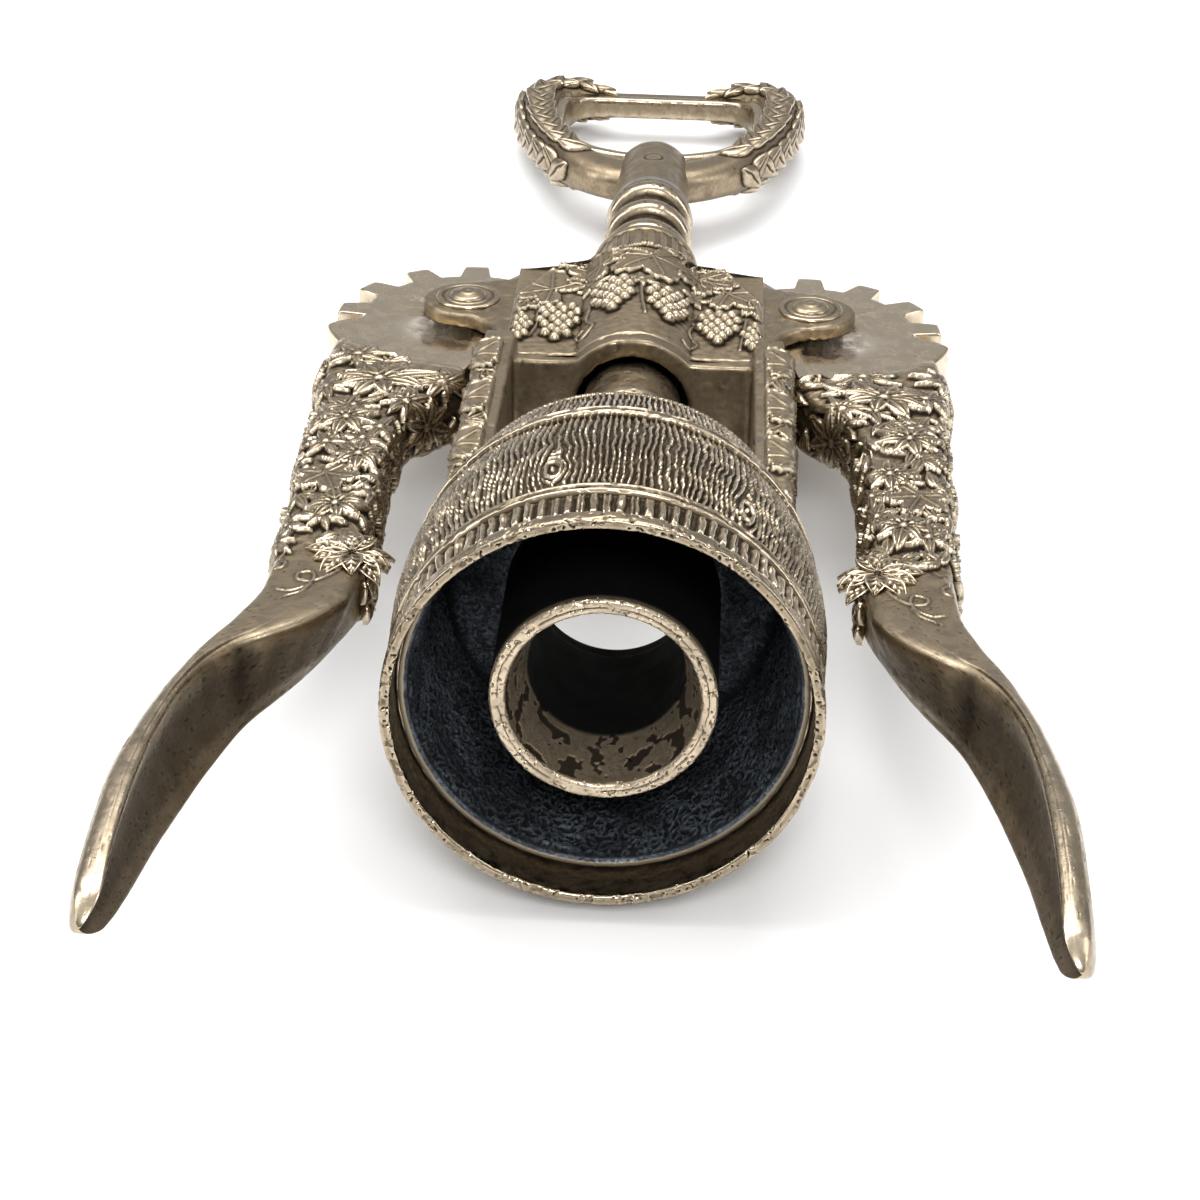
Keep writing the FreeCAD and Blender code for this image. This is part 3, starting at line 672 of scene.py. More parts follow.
def build_liner():
    """Thin blackened cup with a wormy cast skin inside."""
    outline = spaced_outline([
        (6.0, 22.98, 0.2), (5.62, 23.3, 0.15), (5.5, 23.1, 0.15), (5.5, 22.75, 0.2),
        (5.9, 22.35, 0.24), (29.2, 20.30, 0.24), (29.4, 20.0, 0.5), (29.4, 11.6, 3.0),
        (30.98, 11.6, 3.0), (30.98, 20.88, 2.0)])
    y, r, angle = around_axis(outline, 860)
    cast = (np.arange(len(outline)) < np.argmax(outline[:, 0] >= 30.9))[:, None]
    cast = smooth(y, 6.2, 7.0) * (r > 18.0) * cast
    u, w = r * np.cos(angle), r * np.sin(angle)
    skin = noise_round(r, y, angle)
    bend_u = 0.5 * skin(0.5, 0.5, 42)
    bend_y = 0.5 * skin(0.5, 0.5, 43)
    worms = np.maximum(ridged(u * 0.75 + bend_u, y * 0.75 + bend_y, w * 0.75, 44),
                       ridged(u * 0.75 + 7, y * 0.75 - bend_u, w * 0.75 + bend_y, 45))
    inward = cast * (0.30 * smooth(worms, 0.35, 0.95) + 0.10 * skin(0.2, 0.2, 46))
    r = r - inward
    lip = (y < 6.1) & (r > 21.5)
    r = r + np.where(lip, 0.05 * noise(u * 0.6, 0, w * 0.6, 47), 0)
    shell = Shell()
    shell.loop(turned_points(y, r, angle))
    piece = shell_piece("barrel_liner_visual", shell, BLACKENED, "frame",
                        ["barrel_liner"])
    store(piece.data, "edge", smooth(-y, -5.75, -5.6) * (r > 22.7))


def build_seat_tube():
    """Bright worn ring and hollow funnel, with painted shade in the bore and on the outside behind the
    ring.
    """
    outline = spaced_outline([
        (4.28, 11.12, 0.12), (4.06, 11.35, 0.12), (4.0, 11.7, 0.12), (4.0, 12.35, 0.12),
        (4.06, 12.68, 0.12), (4.32, 12.93, 0.14), (5.3, 12.95, 0.3), (7.0, 12.95, 0.8),
        (29.4, 12.95, 0.8), (29.4, 11.5, 0.6), (33.4, 11.5, 0.6), (33.4, 9.8, 0.5),
        (30.5, 9.8, 0.5), (30.5, 9.1, 0.7), (12.2, 9.1, 0.3), (11.5, 9.14, 0.2),
        (9.3, 9.62, 0.16), (7.2, 10.28, 0.16), (5.5, 10.82, 0.15)])
    y, r, angle = around_axis(outline, 760)
    front = (y < 5.0) & (r > 11.0)
    u, w = r * np.cos(angle), r * np.sin(angle)
    worn = worn_rim(y, r, angle, 51, 0.22)
    crack_r = 11.95 + 0.16 * noise(u * 0.16, 0, w * 0.16, 53) + 0.05 * noise(u * 1.1, 0, w * 1.1, 54)
    crack = close_to(r - crack_r, 0.03, 0.10) * smooth(noise(u * 0.4, 2.0, w * 0.4, 55), -0.30, -0.05)
    ticks = close_to(noise(u * 0.55, 5.0, w * 0.55, 56), 0.008, 0.03)
    y = y + np.where(front & (y < 4.5), worn + 0.20 * crack + 0.10 * ticks, 0.0)
    funnel = (y > 4.6) & (y < 12.5) & (r < 11.4)
    skin = noise_round(r, y, angle)
    flakes = smooth(skin(0.42, 0.42, 57) + 0.45 * skin(1.3, 1.3, 58),
                    0.16, 0.23)
    r = r + np.where(funnel, 0.09 * flakes, 0.0)
    shell = Shell()
    shell.loop(turned_points(y, r, angle))
    mesh = mesh_from(laid_down(np.concatenate(shell.points)), shell.faces)
    store(mesh, "flake", np.where(funnel, flakes, 0.0))
    # Painted shade: deep in the bore and on the tube's outside behind the ring, stored as 'bore'.
    deep = smooth(y, 10.6, 12.2) * (r < 10.0)
    outside = smooth(y, 4.4, 5.4) * (r > 12.0)
    store(mesh, "bore", np.maximum(deep, outside))
    finish_piece("seat_tube_visual", mesh, SEAT, "frame", ["seat_tube"])


# ---- Cast relief: leaves, rosettes, grapes and tendrils drawn as heights on a surface

class Relief:
    """Heights in millimetres on points that have flat coordinates across (u) and along (v)."""

    def __init__(self, u, v, period=None):
        self.u, self.v = np.asarray(u, float).reshape(-1), np.asarray(v, float).reshape(-1)
        self.shape = np.shape(u)
        self.period = period
        self.height = np.zeros(len(self.u))

    def near(self, cu, cv, turn, reach):
        """Indices near a centre, and their coordinates along and across that direction."""
        du = self.u - cu
        if self.period:
            du = (du + self.period / 2) % self.period - self.period / 2
        dv = self.v - cv
        index = np.nonzero((np.abs(du) < reach) & (np.abs(dv) < reach))[0]
        du, dv = du[index], dv[index]
        c, s = math.cos(turn), math.sin(turn)
        return index, du * c + dv * s, dv * c - du * s

    def raise_to(self, index, height):
        self.height[index] = np.maximum(self.height[index], height)

    def pointed_oval(self, cu, cv, turn, length, width, lean, fullness):
        """Points in an oval: indices, share along it, millimetres across it, and its half width."""
        index, a, b = self.near(cu, cv, turn, length * 1.1)
        t = a / length
        inside = (t > 0) & (t < 1)
        index, t, b = index[inside], t[inside], b[inside]
        half = width * np.sin(math.pi * t ** lean) ** fullness + 1e-4
        inside = np.abs(b) < half
        return index[inside], t[inside], b[inside], half[inside]

    def leaflet(self, cu, cv, turn, length, width, lift=0.55, fold=0.17):
        """Pointed oval with raised edge and vein, dished between them."""
        index, t, b, half = self.pointed_oval(cu, cv, turn, length, width, 0.75, 0.85)
        edge = 1 - np.abs(b) / half
        body = lift * (0.55 + 0.45 * np.sin(math.pi * np.clip(t, 0, 1) ** 0.8))
        rim = np.exp(-((np.abs(b) - half * 0.78) / 0.24) ** 2)
        vein = np.exp(-(b / 0.21) ** 2)
        height = body * smooth(edge, 0.0, 0.34) - fold * smooth(edge, 0.2, 0.5) \
            + 0.15 * rim * smooth(edge, 0, 0.2) + 0.24 * vein
        self.raise_to(index, height)

    def plain_leaf(self, cu, cv, turn, length, width, lift):
        """Plump leaf without veins that rises towards its tip."""
        index, t, b, half = self.pointed_oval(cu, cv, turn, length, width, 0.9, 0.75)
        dome = np.sqrt(np.maximum(1 - (b / half) ** 2, 0.0))
        self.raise_to(index, lift * (0.35 + 0.65 * t) * dome - 0.22 * np.exp(-(b / 0.22) ** 2))

    def rosette(self, cu, cv, turn, reach, count=8, lift=0.6, spread=TAU, width=0.2, chooser=None):
        """Leaflets that spread from one point."""
        for k in range(count):
            angle = turn + spread * (k - (count - 1) / 2) / count
            size = reach * (chooser.uniform(0.72, 1.0) if chooser else 0.9)
            self.leaflet(cu, cv, angle, size, size * width, lift)
        index, a, b = self.near(cu, cv, 0.0, 1.0)
        self.raise_to(index, lift * 0.9 + 0.25 * (1 - (a * a + b * b) / 0.4))

    def vine_leaf(self, cu, cv, turn, reach, lift=0.6, lobes=5):
        """Lobed leaf with a toothed edge, main veins and side veins."""
        index, a, b = self.near(cu, cv, turn, reach * 1.15)
        rho = np.sqrt(a * a + b * b) + 1e-9
        phi = np.arctan2(b, a)
        outline = np.zeros_like(rho)
        vein = np.zeros_like(rho)
        for k in range(lobes):
            axis = (k - (lobes - 1) / 2) * (TAU * 0.80 / lobes)
            size = reach * (1.0 if k == lobes // 2 else 0.9 if abs(k - lobes // 2) == 1 else 0.72)
            off = (phi - axis + math.pi) % TAU - math.pi
            lobe = size * np.clip(np.cos(np.clip(off * 1.75, -1.5, 1.5)), 0.0, 1) ** 1.2
            outline = np.maximum(outline, lobe)
            along, across = rho * np.cos(off), np.abs(rho * np.sin(off))
            main = np.exp(-(across / 0.16) ** 2) * (along > 0) \
                * smooth(-along, -size * 0.95, -size * 0.8)
            side = np.exp(-(((along - across * 1.1) % 1.9 - 0.9) / 0.2) ** 2) * 0.18 \
                * (along > 1.2) * smooth(-across, -size * 0.3, -size * 0.2)
            vein = np.maximum(vein, np.maximum(main, side))
        outline = outline * (1 + 0.05 * np.sin(phi * 24)) + reach * 0.12
        edge = (outline - rho)
        inside = edge > 0
        body = lift * (0.75 + 0.25 * rho / reach)
        height = body * smooth(edge, 0, 0.3) - 0.14 * smooth(edge, 0.25, 0.9) + 0.20 * vein \
            + 0.16 * np.exp(-((edge - 0.26) / 0.2) ** 2)
        self.raise_to(index[inside], height[inside])

    def berry(self, cu, cv, radius, lift=0.0):
        """Round grape."""
        index, a, b = self.near(cu, cv, 0.0, radius * 1.05)
        d = (a * a + b * b) / radius ** 2
        inside = d < 1
        self.raise_to(index[inside], lift + radius * 0.95 * np.sqrt(1 - d[inside]))

    def grapes(self, cu, cv, turn, length, width, radius=0.95, lift=0.1, chooser=None):
        """Bunch of grapes that hangs from a point."""
        rows = int(length / (radius * 2.0))
        c, s = math.cos(turn), math.sin(turn)
        previous = 0
        for row in range(rows):
            t = row / max(rows - 1, 1)
            half = width / 2 * min(1.0, 0.72 + t * 1.6) * (1 - t) ** 0.62
            count = max(1, int(round(2 * half / (radius * 2.1))))
            if t < 0.85 and count % 2 == row % 2:
                count += 1
            along = row * radius * 2.0 + radius
            if count == 1 and previous == 1:
                break
            previous = count
            for k in range(count):
                across = (k - (count - 1) / 2 + chooser.uniform(-0.12, 0.12)) * radius * 2.1
                bulge = 0.55 * (1 - (across / (width / 2 + radius)) ** 2)
                size = radius * (0.95 + 0.08 * ((k * 7 + row * 3) % 5) / 4)
                self.berry(cu + along * c - across * s, cv + along * s + across * c, size,
                           lift + bulge + chooser.uniform(-0.12, 0.12))

    def stroke(self, points, width=0.22, height=0.3, lift=0.0):
        """Raised wire line through points."""
        line = stepped(points, 40 + int(len(points) * 14))
        for (u0, v0), (u1, v1) in zip(line[:-1], line[1:]):
            index, a, b = self.near((u0 + u1) / 2, (v0 + v1) / 2, math.atan2(v1 - v0, u1 - u0),
                                    width * 2 + 0.6)
            span = math.hypot(u1 - u0, v1 - v0) / 2
            d = np.sqrt(np.maximum(np.abs(a) - span, 0) ** 2 + b * b) / width
            inside = d < 1.6
            self.raise_to(index[inside], lift + height * np.exp(-(d[inside] ** 2) * 1.2))

    def cells(self, size, depth, seed):
        """Hammered ground between the ornaments."""
        ground = noise(self.u / size, self.v / size, 0.0, seed)
        worms = ridged(self.u / size * 0.8, self.v / size * 0.8, 3.0, seed + 1)
        self.height = self.height + depth * (0.4 * ground + 0.6 * worms)

    def cover(self, low_u, high_u, low_v, high_v, pitch, seed, kinds=("rosette", "vine", "leaflet"),
              lift=0.6):
        """Fills a field with overlapping small ornaments."""
        chooser = np.random.default_rng(seed)
        row = 0
        v = low_v
        while v < high_v:
            u = low_u + (pitch / 2 if row % 2 else 0.0)
            while u < high_u:
                cu = u + chooser.uniform(-0.45, 0.45) * pitch
                cv = v + chooser.uniform(-0.45, 0.45) * pitch
                turn = chooser.uniform(0, TAU)
                kind = kinds[chooser.integers(len(kinds))]
                up = lift * chooser.uniform(0.7, 1.15)
                if kind == "rosette":
                    self.rosette(cu, cv, turn, pitch * 0.72, int(chooser.integers(6, 9)), up,
                                 chooser=chooser)
                elif kind == "vine":
                    self.vine_leaf(cu, cv, turn, pitch * 0.66, up)
                else:
                    for k in range(3):
                        self.leaflet(cu, cv, turn + k * 1.1, pitch * 0.62, pitch * 0.16, up * 0.85)
                u += pitch
            v += pitch * 0.86
            row += 1

    def grid(self):
        return self.height.reshape(self.shape)


def raised(grid, height):
    """Rings of points moved outward along the normals of their surface."""
    across = (np.roll(grid, -1, axis=1) - np.roll(grid, 1, axis=1)) / 2
    normals = np.cross(across, np.gradient(grid, axis=0))
    normals = normals / (np.linalg.norm(normals, axis=-1, keepdims=True) + 1e-12)
    outward = np.sign(((grid - grid.mean(1, keepdims=True)) * normals).sum(-1).mean())
    return grid + normals * outward * height[..., None]


def ring_resampled(ring, count):
    """A closed polyline as evenly spaced points that start at its first point."""
    closed = np.vstack([ring, ring[:1]])
    lengths = np.r_[0, np.cumsum(np.linalg.norm(np.diff(closed, axis=0), axis=1))]
    t = np.linspace(0, lengths[-1], count, endpoint=False)
    return np.stack([np.interp(t, lengths, closed[:, k]) for k in range(closed.shape[1])], 1)


def ring_softened(ring, width):
    """A closed ring of points smoothed over that many points."""
    if width < 0.3:
        return ring
    spectrum = np.fft.rfft(ring, axis=0)
    wave = np.arange(len(spectrum)) * TAU / len(ring)
    return np.fft.irfft(spectrum * np.exp(-0.5 * (wave * width) ** 2)[:, None], len(ring), axis=0)


def add_leaf(shell, base, along, up, length, width, lift=1.0, curl=0.6, thick=0.5):
    """A solid leaflet that stands off a surface; base, direction and up are 3-D."""
    base, along, up = (np.asarray(v, float) for v in (base, along, up))
    along = along / np.linalg.norm(along)
    side = np.cross(along, up)
    side /= np.linalg.norm(side)
    up = np.cross(side, along)
    rows, across = 22, 17
    t = np.linspace(0.0, 1.0, rows)[:, None]
    q = np.linspace(-1, 1, across)[None]
    half = width * (np.sin(math.pi * np.clip(t, 0.012, 0.988) ** 0.78) ** 0.8)
    lifted = lift * np.sin(math.pi * 0.5 * t) - curl * t ** 3 * length * 0.3
    cross_shape = 0.20 * width * (np.abs(q) ** 2) - 0.10 * width
    rim = 0.16 * np.exp(-((np.abs(q) - 0.84) / 0.13) ** 2)
    vein = 0.20 * np.exp(-(q / 0.12) ** 2)
    ribs = 0.07 * np.cos((t * length * 1.0 - np.abs(q) * width * 0.9) * TAU / 1.1) * (1 - np.abs(q)) * 2
    top = lifted + cross_shape + (rim + vein + ribs) * np.sin(math.pi * np.clip(t, 0, 1)) ** 0.3
    body = thick * (1 - 0.75 * np.abs(q) ** 3) * np.sin(math.pi * np.clip(t, 0.03, 0.97)) ** 0.5
    low = lifted + cross_shape - body
    ring = []
    for level in (top, low):
        level = np.broadcast_to(level, (rows, across))
        ring.append(base + (t * length)[..., None] * along + (q * half)[..., None] * side
                    + level[..., None] * up)
    loop = np.concatenate([ring[0], ring[1][:, ::-1]], axis=1)
    shell.tube(loop)


# ---- Levers

LEVER_TOP_INNER = profile([
    (-47.0, 46.0), (-44.0, 45.7), (-35.0, 45.9), (-20.0, 45.7), (-10.0, 44.8), (-2.0, 43.2),
    (3.0, 40.4), (6.5, 36.6), (10.5, 32.8), (15.0, 29.9), (18.0, 28.9), (26.0, 29.3), (36.0, 31.0),
    (60.0, 31.0), (72.0, 30.0), (81.0, 26.0), (89.0, 22.8), (97.0, 22.6)])
LEVER_LOW_INNER = profile([
    (-47.0, 46.6), (-44.0, 46.2), (-35.0, 45.7), (-23.0, 45.0), (-10.0, 43.4), (4.5, 40.0),
    (15.0, 34.6), (24.0, 30.6), (31.0, 29.8), (36.0, 31.0), (60.0, 31.0), (72.0, 30.0),
    (81.0, 26.0), (89.0, 22.8), (97.0, 22.6)])
LEVER_OUTER = profile([
    (-47.0, 49.6), (-44.0, 50.0), (-38.0, 50.3), (-26.0, 50.5), (-12.0, 49.0), (0.0, 46.0),
    (11.0, 42.6), (20.0, 41.0), (40.0, 41.3), (55.0, 42.0), (70.0, 42.0), (84.0, 43.2),
    (92.0, 43.4), (97.0, 43.0)])
LEVER_TOP_Z = profile([
    (-47.0, 4.0), (-44.0, 4.9), (-38.0, 5.8), (-25.0, 6.8), (-10.0, 6.95), (6.0, 6.1), (18.0, 5.15),
    (27.0, 4.55), (97.0, 4.45)])
LEVER_LOW_Z = profile([
    (-47.0, 0.4), (-44.0, -0.3), (-38.0, -2.2), (-25.0, -4.7), (-10.0, -6.1), (6.0, -5.9),
    (18.0, -5.15), (27.0, -4.55), (97.0, -4.45)])


def lever_ring(y, around):
    """Closed section of the right lever at one station, from the middle of its top outward."""
    top_inner, low_inner = float(LEVER_TOP_INNER(y)), float(LEVER_LOW_INNER(y))
    outer = float(LEVER_OUTER(y))
    top_z, low_z = float(LEVER_TOP_Z(y)), float(LEVER_LOW_Z(y))
    arm = float(smooth(y, 20.0, 32.0))
    spoon = float(smooth(-y, -6.0, 12.0))
    wrap = 0.5 + 0.4 * spoon
    z = np.linspace(top_z, low_z, 33)
    half = np.where(z > 0, top_z, max(-low_z, 0.5))
    out = np.stack([outer - np.where(z > 0, wrap, wrap + 0.9 * spoon) * (z / half) ** 2, z], 1)
    q = np.linspace(0, 1, 41)[:, None]
    low, top = np.array([low_inner, low_z * (0.95 + 0.05 * arm)]), np.array([top_inner, top_z])
    dish = (1 - arm) * (0.9 + 1.5 * spoon) - 0.35 * arm
    face = low + (top - low) * q
    face[:, 0] += dish * (1 - (2 * q[:, 0] - 1) ** 2)
    middle = np.array([[(top_inner + outer - wrap) / 2, top_z + 0.25 * spoon]])
    ring = ring_resampled(np.concatenate([middle, out, face]), around)
    broad = ring_softened(ring, 9.5 * arm + 12.0 * spoon + 17.0 * (1 - arm) * (1 - spoon))
    tight = ring_softened(ring, 9.5 * arm + 9.0 * spoon + 2.6 * (1 - arm) * (1 - spoon))
    place = np.linspace(0, 1, around, endpoint=False)
    share = (between(place, 0.50, 0.62, 0.985, 1.0))[:, None]
    return broad * share + tight * (1 - share)


def lever_grid(around=280):
    """Plain surface of the right lever's arm and thumb piece, before its relief."""
    stations = np.concatenate([
        -47.0 + 4.5 * (1 - np.cos(np.linspace(0.06, math.pi / 2, 16)[:-1])),
        np.arange(-42.5, 16.0, 0.5), np.arange(16.0, 96.6, 0.26)])
    rings = []
    for y in stations:
        ring = lever_ring(max(y, -46.9), around)
        if y < -42.5:
            close = math.sqrt(max(0.0, 1 - ((-42.5 - y) / 4.5) ** 2))
            middle = ring.mean(0)
            ring = middle + (ring - middle) * close
        rings.append(np.stack([ring[:, 0], np.full(around, y), ring[:, 1]], 1))
    grid = np.array(rings)
    end = PIVOT_Y - np.sqrt(np.clip(20.2 ** 2 - (grid[..., 0] - PIVOT_X) ** 2, 60.0, None))
    share = smooth(grid[..., 1], 62.0, 96.6)
    grid[..., 1] += share * (end - 96.6) * (grid[..., 1] - 62.0) / 34.6
    return grid


ARM_GIRTH = 43.0        # width of the arm's relief before it meets itself


def lever_relief(grid, seed):
    """Leaves on the arm, tendril on the flat, wear on the thumb piece."""
    around = grid.shape[1]
    v = grid[..., 1]
    u = np.repeat(np.arange(around)[None] * (ARM_GIRTH / around), len(grid), 0)
    relief = Relief(u, v, ARM_GIRTH)
    relief.cover(0, ARM_GIRTH, 32.0, 92.0, 6.6, seed, kinds=("rosette", "leaflet", "rosette"), lift=1.0)
    chooser = np.random.default_rng(seed + 1)
    for cu, cv, turn, reach, kind in (
            (0.0, 79.0, 4.6, 6.6, "rosette"), (1.0, 66.0, 4.5, 5.6, "rosette"),
            (40.5, 55.0, 1.2, 4.8, "rosette"), (1.5, 49.5, 4.4, 5.2, "vine"),
            (42.0, 40.5, 4.9, 5.6, "rosette"), (12.0, 84.0, 2.0, 5.0, "rosette"),
            (11.5, 70.0, 4.0, 4.6, "vine"), (12.0, 57.0, 1.0, 4.6, "rosette"),
            (12.0, 44.0, 4.4, 4.6, "vine"), (32.5, 62.0, 2.0, 4.6, "rosette"),
            (32.0, 48.0, 5.0, 4.8, "vine"), (32.5, 75.0, 4.0, 4.8, "rosette"),
            (21.5, 78.0, 4.5, 5.8, "rosette"), (21.5, 62.0, 4.5, 5.2, "rosette"),
            (21.5, 46.0, 4.4, 5.2, "vine"), (32.0, 36.0, 4.7, 4.4, "rosette"),
            (12.0, 33.5, 4.7, 4.2, "rosette")):
        if kind == "rosette":
            relief.rosette(cu, cv, turn, reach, 8, 1.4, chooser=chooser, width=0.27)
        else:
            relief.vine_leaf(cu, cv, turn, reach, 1.25)
    limit = v + 1.6 * noise(u * 0.35, v * 0.3, 0.0, seed + 2)
    ground = Relief(u, v, ARM_GIRTH)
    ground.cells(1.5, 0.16, seed + 3)
    leafy = (np.maximum(relief.grid(), ground.grid()) - 0.25) * smooth(limit, 27.5, 30.5)
    plate = Relief(u, v, ARM_GIRTH)
    plate.stroke([(-3.4, 25.6), (-1.6, 22.6), (0.6, 20.6), (2.2, 21.0), (2.2, 22.8), (0.8, 23.4),
                  (0.2, 21.6), (1.0, 19.0), (2.8, 17.6), (4.2, 18.0)], 0.2, 0.30)
    plate.stroke([(0.4, 19.6), (1.4, 17.2), (3.0, 15.6)], 0.2, 0.26)
    plate.stroke([(4.6, 29.0), (5.2, 26.6), (4.4, 25.6), (4.9, 24.2), (5.8, 24.0)], 0.22, 0.26)
    bare = smooth(-v, -31.0, -28.0)
    flaws = -0.05 * smooth(noise(u * 1.3, v * 1.3, 0.0, seed + 4), 0.46, 0.56) * bare
    waves = 0.03 * noise(u * 0.3, v * 0.25, 0.0, seed + 5) * bare
    return leafy + plate.grid() * bare + flaws + waves


GEAR_TEETH = 7


def lever_gear(shell):
    """Toothed plate of the right lever, with broken edges, about its pivot."""
    step, first, root, tip, half_z = 0.5, math.radians(3.0), 15.2, 19.0, 3.45
    angle = np.linspace(0, TAU, 720, endpoint=False)
    radius = np.full(len(angle), root)
    for k in range(GEAR_TEETH):
        off = (angle - first - k * step + math.pi) % TAU - math.pi
        place = np.abs(off) * 17.2
        tooth = smooth(-place, -2.75, -1.15)
        radius = np.maximum(radius, root + (tip - root) * np.clip(tooth * 1.15, 0, 1) ** 0.9)
    off = (angle - math.radians(306) + math.pi) % TAU - math.pi
    heel = close_to(off, math.radians(38), math.radians(47))
    radius = np.maximum(radius, root + (20.6 - root) * heel)
    back = (angle - math.radians(228) + math.pi) % TAU - math.pi
    radius = radius - 1.6 * close_to(back, math.radians(15), math.radians(35))
    rings = []
    upper = [(None, half_z), (6.0, half_z), (1.2, half_z), (0.55, half_z - 0.02), (0.28, half_z - 0.10),
             (0.08, half_z - 0.32), (0.0, half_z - 0.7), (0.0, half_z * 0.33)]
    for inset, z in upper + [(inset, -z) for inset, z in upper[::-1]]:
        r = np.full(len(angle), 2.06) if inset is None else radius - inset
        wear = 0.05 * noise(angle * 6, z * 0.4, 0.0, 61) if inset is not None else 0.0
        r = r + wear
        rings.append(np.stack([PIVOT_X + r * np.cos(angle), PIVOT_Y + r * np.sin(angle),
                               np.full(len(angle), z)], 1))
    shell.loop(np.array(rings))


def lever_leaves(shell, seed):
    """Leaves that stand off the knee, and leaf tips along the arm's edges."""
    chooser = np.random.default_rng(seed)
    centre = np.array([31.4, 28.6, 4.9])
    for k, degrees in enumerate((182, 150, 118, 84, 48, 12, -24, -60, -96, -134, -164)):
        turn = math.radians(degrees)
        droop = -0.42 if degrees in (182, 150, -164, -134) else -0.08
        along = np.array([math.cos(turn), math.sin(turn), droop])
        length = (5.6 if k % 2 else 4.6) * chooser.uniform(0.95, 1.05)
        add_leaf(shell, centre + along * 0.4, along, (0.1 * math.cos(turn), 0.1 * math.sin(turn), 1.0),
                 length, 1.45, 0.75, 0.55, 0.7)
    for y, z, degrees, length in (
            (30.6, 3.4, 200, 4.2), (28.6, 2.6, 262, 4.4), (26.4, 2.2, 318, 3.6),
            (30.2, 0.6, 232, 4.4), (27.4, -0.4, 290, 4.2), (31.4, -1.6, 255, 4.0)):
        turn = math.radians(degrees)
        add_leaf(shell, (29.9, y, z), (-0.10, -math.cos(turn) * 0.9, math.sin(turn)), (-1.0, 0.0, 0.1),
                 length * 0.85, 2.1, 0.9, 0.9, 0.9)
    for x, y, z, degrees, length in (
            (42.7, 86.2, 2.2, 60, 4.2), (43.0, 84.2, 0.2, 115, 4.0), (42.6, 87.4, -2.0, 75, 4.2),
            (41.7, 71.0, 2.8, 80, 3.2), (41.3, 57.0, 2.6, 100, 3.0), (40.9, 44.0, 2.4, 75, 3.0),
            (30.9, 62.0, 3.2, 95, 3.0), (30.9, 48.0, 3.2, 80, 3.0)):
        turn = math.radians(degrees)
        outward = 1.0 if x > 35 else -1.0
        add_leaf(shell, (x - outward * 0.9, y, z),
                 (math.cos(turn) * 0.5 + 0.1 * outward, math.sin(turn), 0.1),
                 (outward, 0.0, 0.6), length, 1.25, 0.6, 0.45, 0.7)


def paint_dish_shade(mesh, grid):
    """Painted shade in the hollow of the thumb piece, and a lighter lip towards its tip."""
    place = np.linspace(0, 1, grid.shape[1], endpoint=False)[None]
    hollow = between(place, 0.60, 0.66, 0.80, 0.90) * smooth(-grid[..., 1], -26.0, -12.0)
    lip = smooth(place, 0.90, 0.94) + smooth(-place, -0.10, -0.04)
    # Painted shade: the hollow is pushed darker; the lip near the tip is made lighter.
    shift_recess(mesh, 0.10 * hollow - 0.10 * lip * smooth(-grid[..., 1], -8.0, 4.0))


def build_levers():
    """Both levers; the left one is the mirror image."""
    for side, seed in (("right", 71), ("left", 171)):
        grid = lever_grid()
        tip = smooth(grid[..., 1], -45.0, -40.0)
        height = lever_relief(grid, seed) * np.where(grid[..., 1] < 0, tip, 1.0)
        arm = Shell()
        arm.tube(raised(grid, height))
        lever_gear(arm)
        lever_leaves(arm, seed + 9)
        if side == "left":
            arm.points = [p * np.array([-1.0, 1.0, 1.0]) for p in arm.points]
            arm.faces = [f[:, ::-1] for f in arm.faces]
        piece = shell_piece(side + "_lever_visual", arm, LEVER, side + "_lever",
                            [side + "_lever"])
        paint_dish_shade(piece.data, grid)


# ---- Frame: softened casting, relief on the head, shoulders, neck and legs

def softened_copy(node_name, voxel, rounds):
    """Points in spindle millimetres and mesh of a node, with its edges rounded."""
    source = frame["nodes"][node_name]
    mesh = source.data.copy()
    move_points(mesh, stood_up(mesh_points(mesh)))
    holder = linked("softening", mesh)
    remesh = holder.modifiers.new("remesh", "REMESH")
    remesh.mode = "VOXEL"
    remesh.voxel_size = voxel
    depsgraph = bpy.context.evaluated_depsgraph_get()
    dense = bpy.data.meshes.new_from_object(holder.evaluated_get(depsgraph))
    bpy.data.objects.remove(holder)
    bpy.data.meshes.remove(mesh)
    points = mesh_points(dense)
    edges, counts = mesh_edges(dense)
    for _ in range(rounds):
        points = points * 0.5 + neighbour_mean(points, edges, counts) * 0.5
    return dense, points


def build_frame_casting():
    """The casting itself, with broken edges and a slightly uneven skin."""
    mesh, points = softened_copy("frame_casting", 0.38, 3)
    move_points(mesh, points)
    normals = vertex_normals(mesh)
    x, y, z = points.T
    corner = smooth(np.abs(x) * 2.2 + y, 144.5, 146.0) * (np.abs(x) < 18.2)
    z[:] = np.where(np.abs(z) > 5.9, np.sign(z) * (np.abs(z) * (1 - corner) + 5.98 * corner), z)
    skin = 0.07 * noise(x * 0.35, y * 0.35, z * 0.35, 81) + 0.035 * noise(x, y, z, 82) \
        - 0.12 * smooth(noise(x * 0.8, y * 0.8, z * 0.8, 83), 0.42, 0.55)
    points = points + normals * (skin - 0.03)[:, None]
    move_points(mesh, laid_down(points))
    finish_piece("frame_casting_visual", mesh, CASTING, "frame", ["frame_casting"])
    # Painted shade: the inner faces of the frame's window are darkened below its front edge, where the
    # frame shades them.
    window_shade = (np.abs(x) < 17.75) & (y > 41.5) & (y < 86.0)
    shift_recess(mesh, np.where(window_shade, 0.40 * smooth(-z, -6.8, -3.6), 0.0))


DOME_R = 10.5
HEAD_Z = 7.0


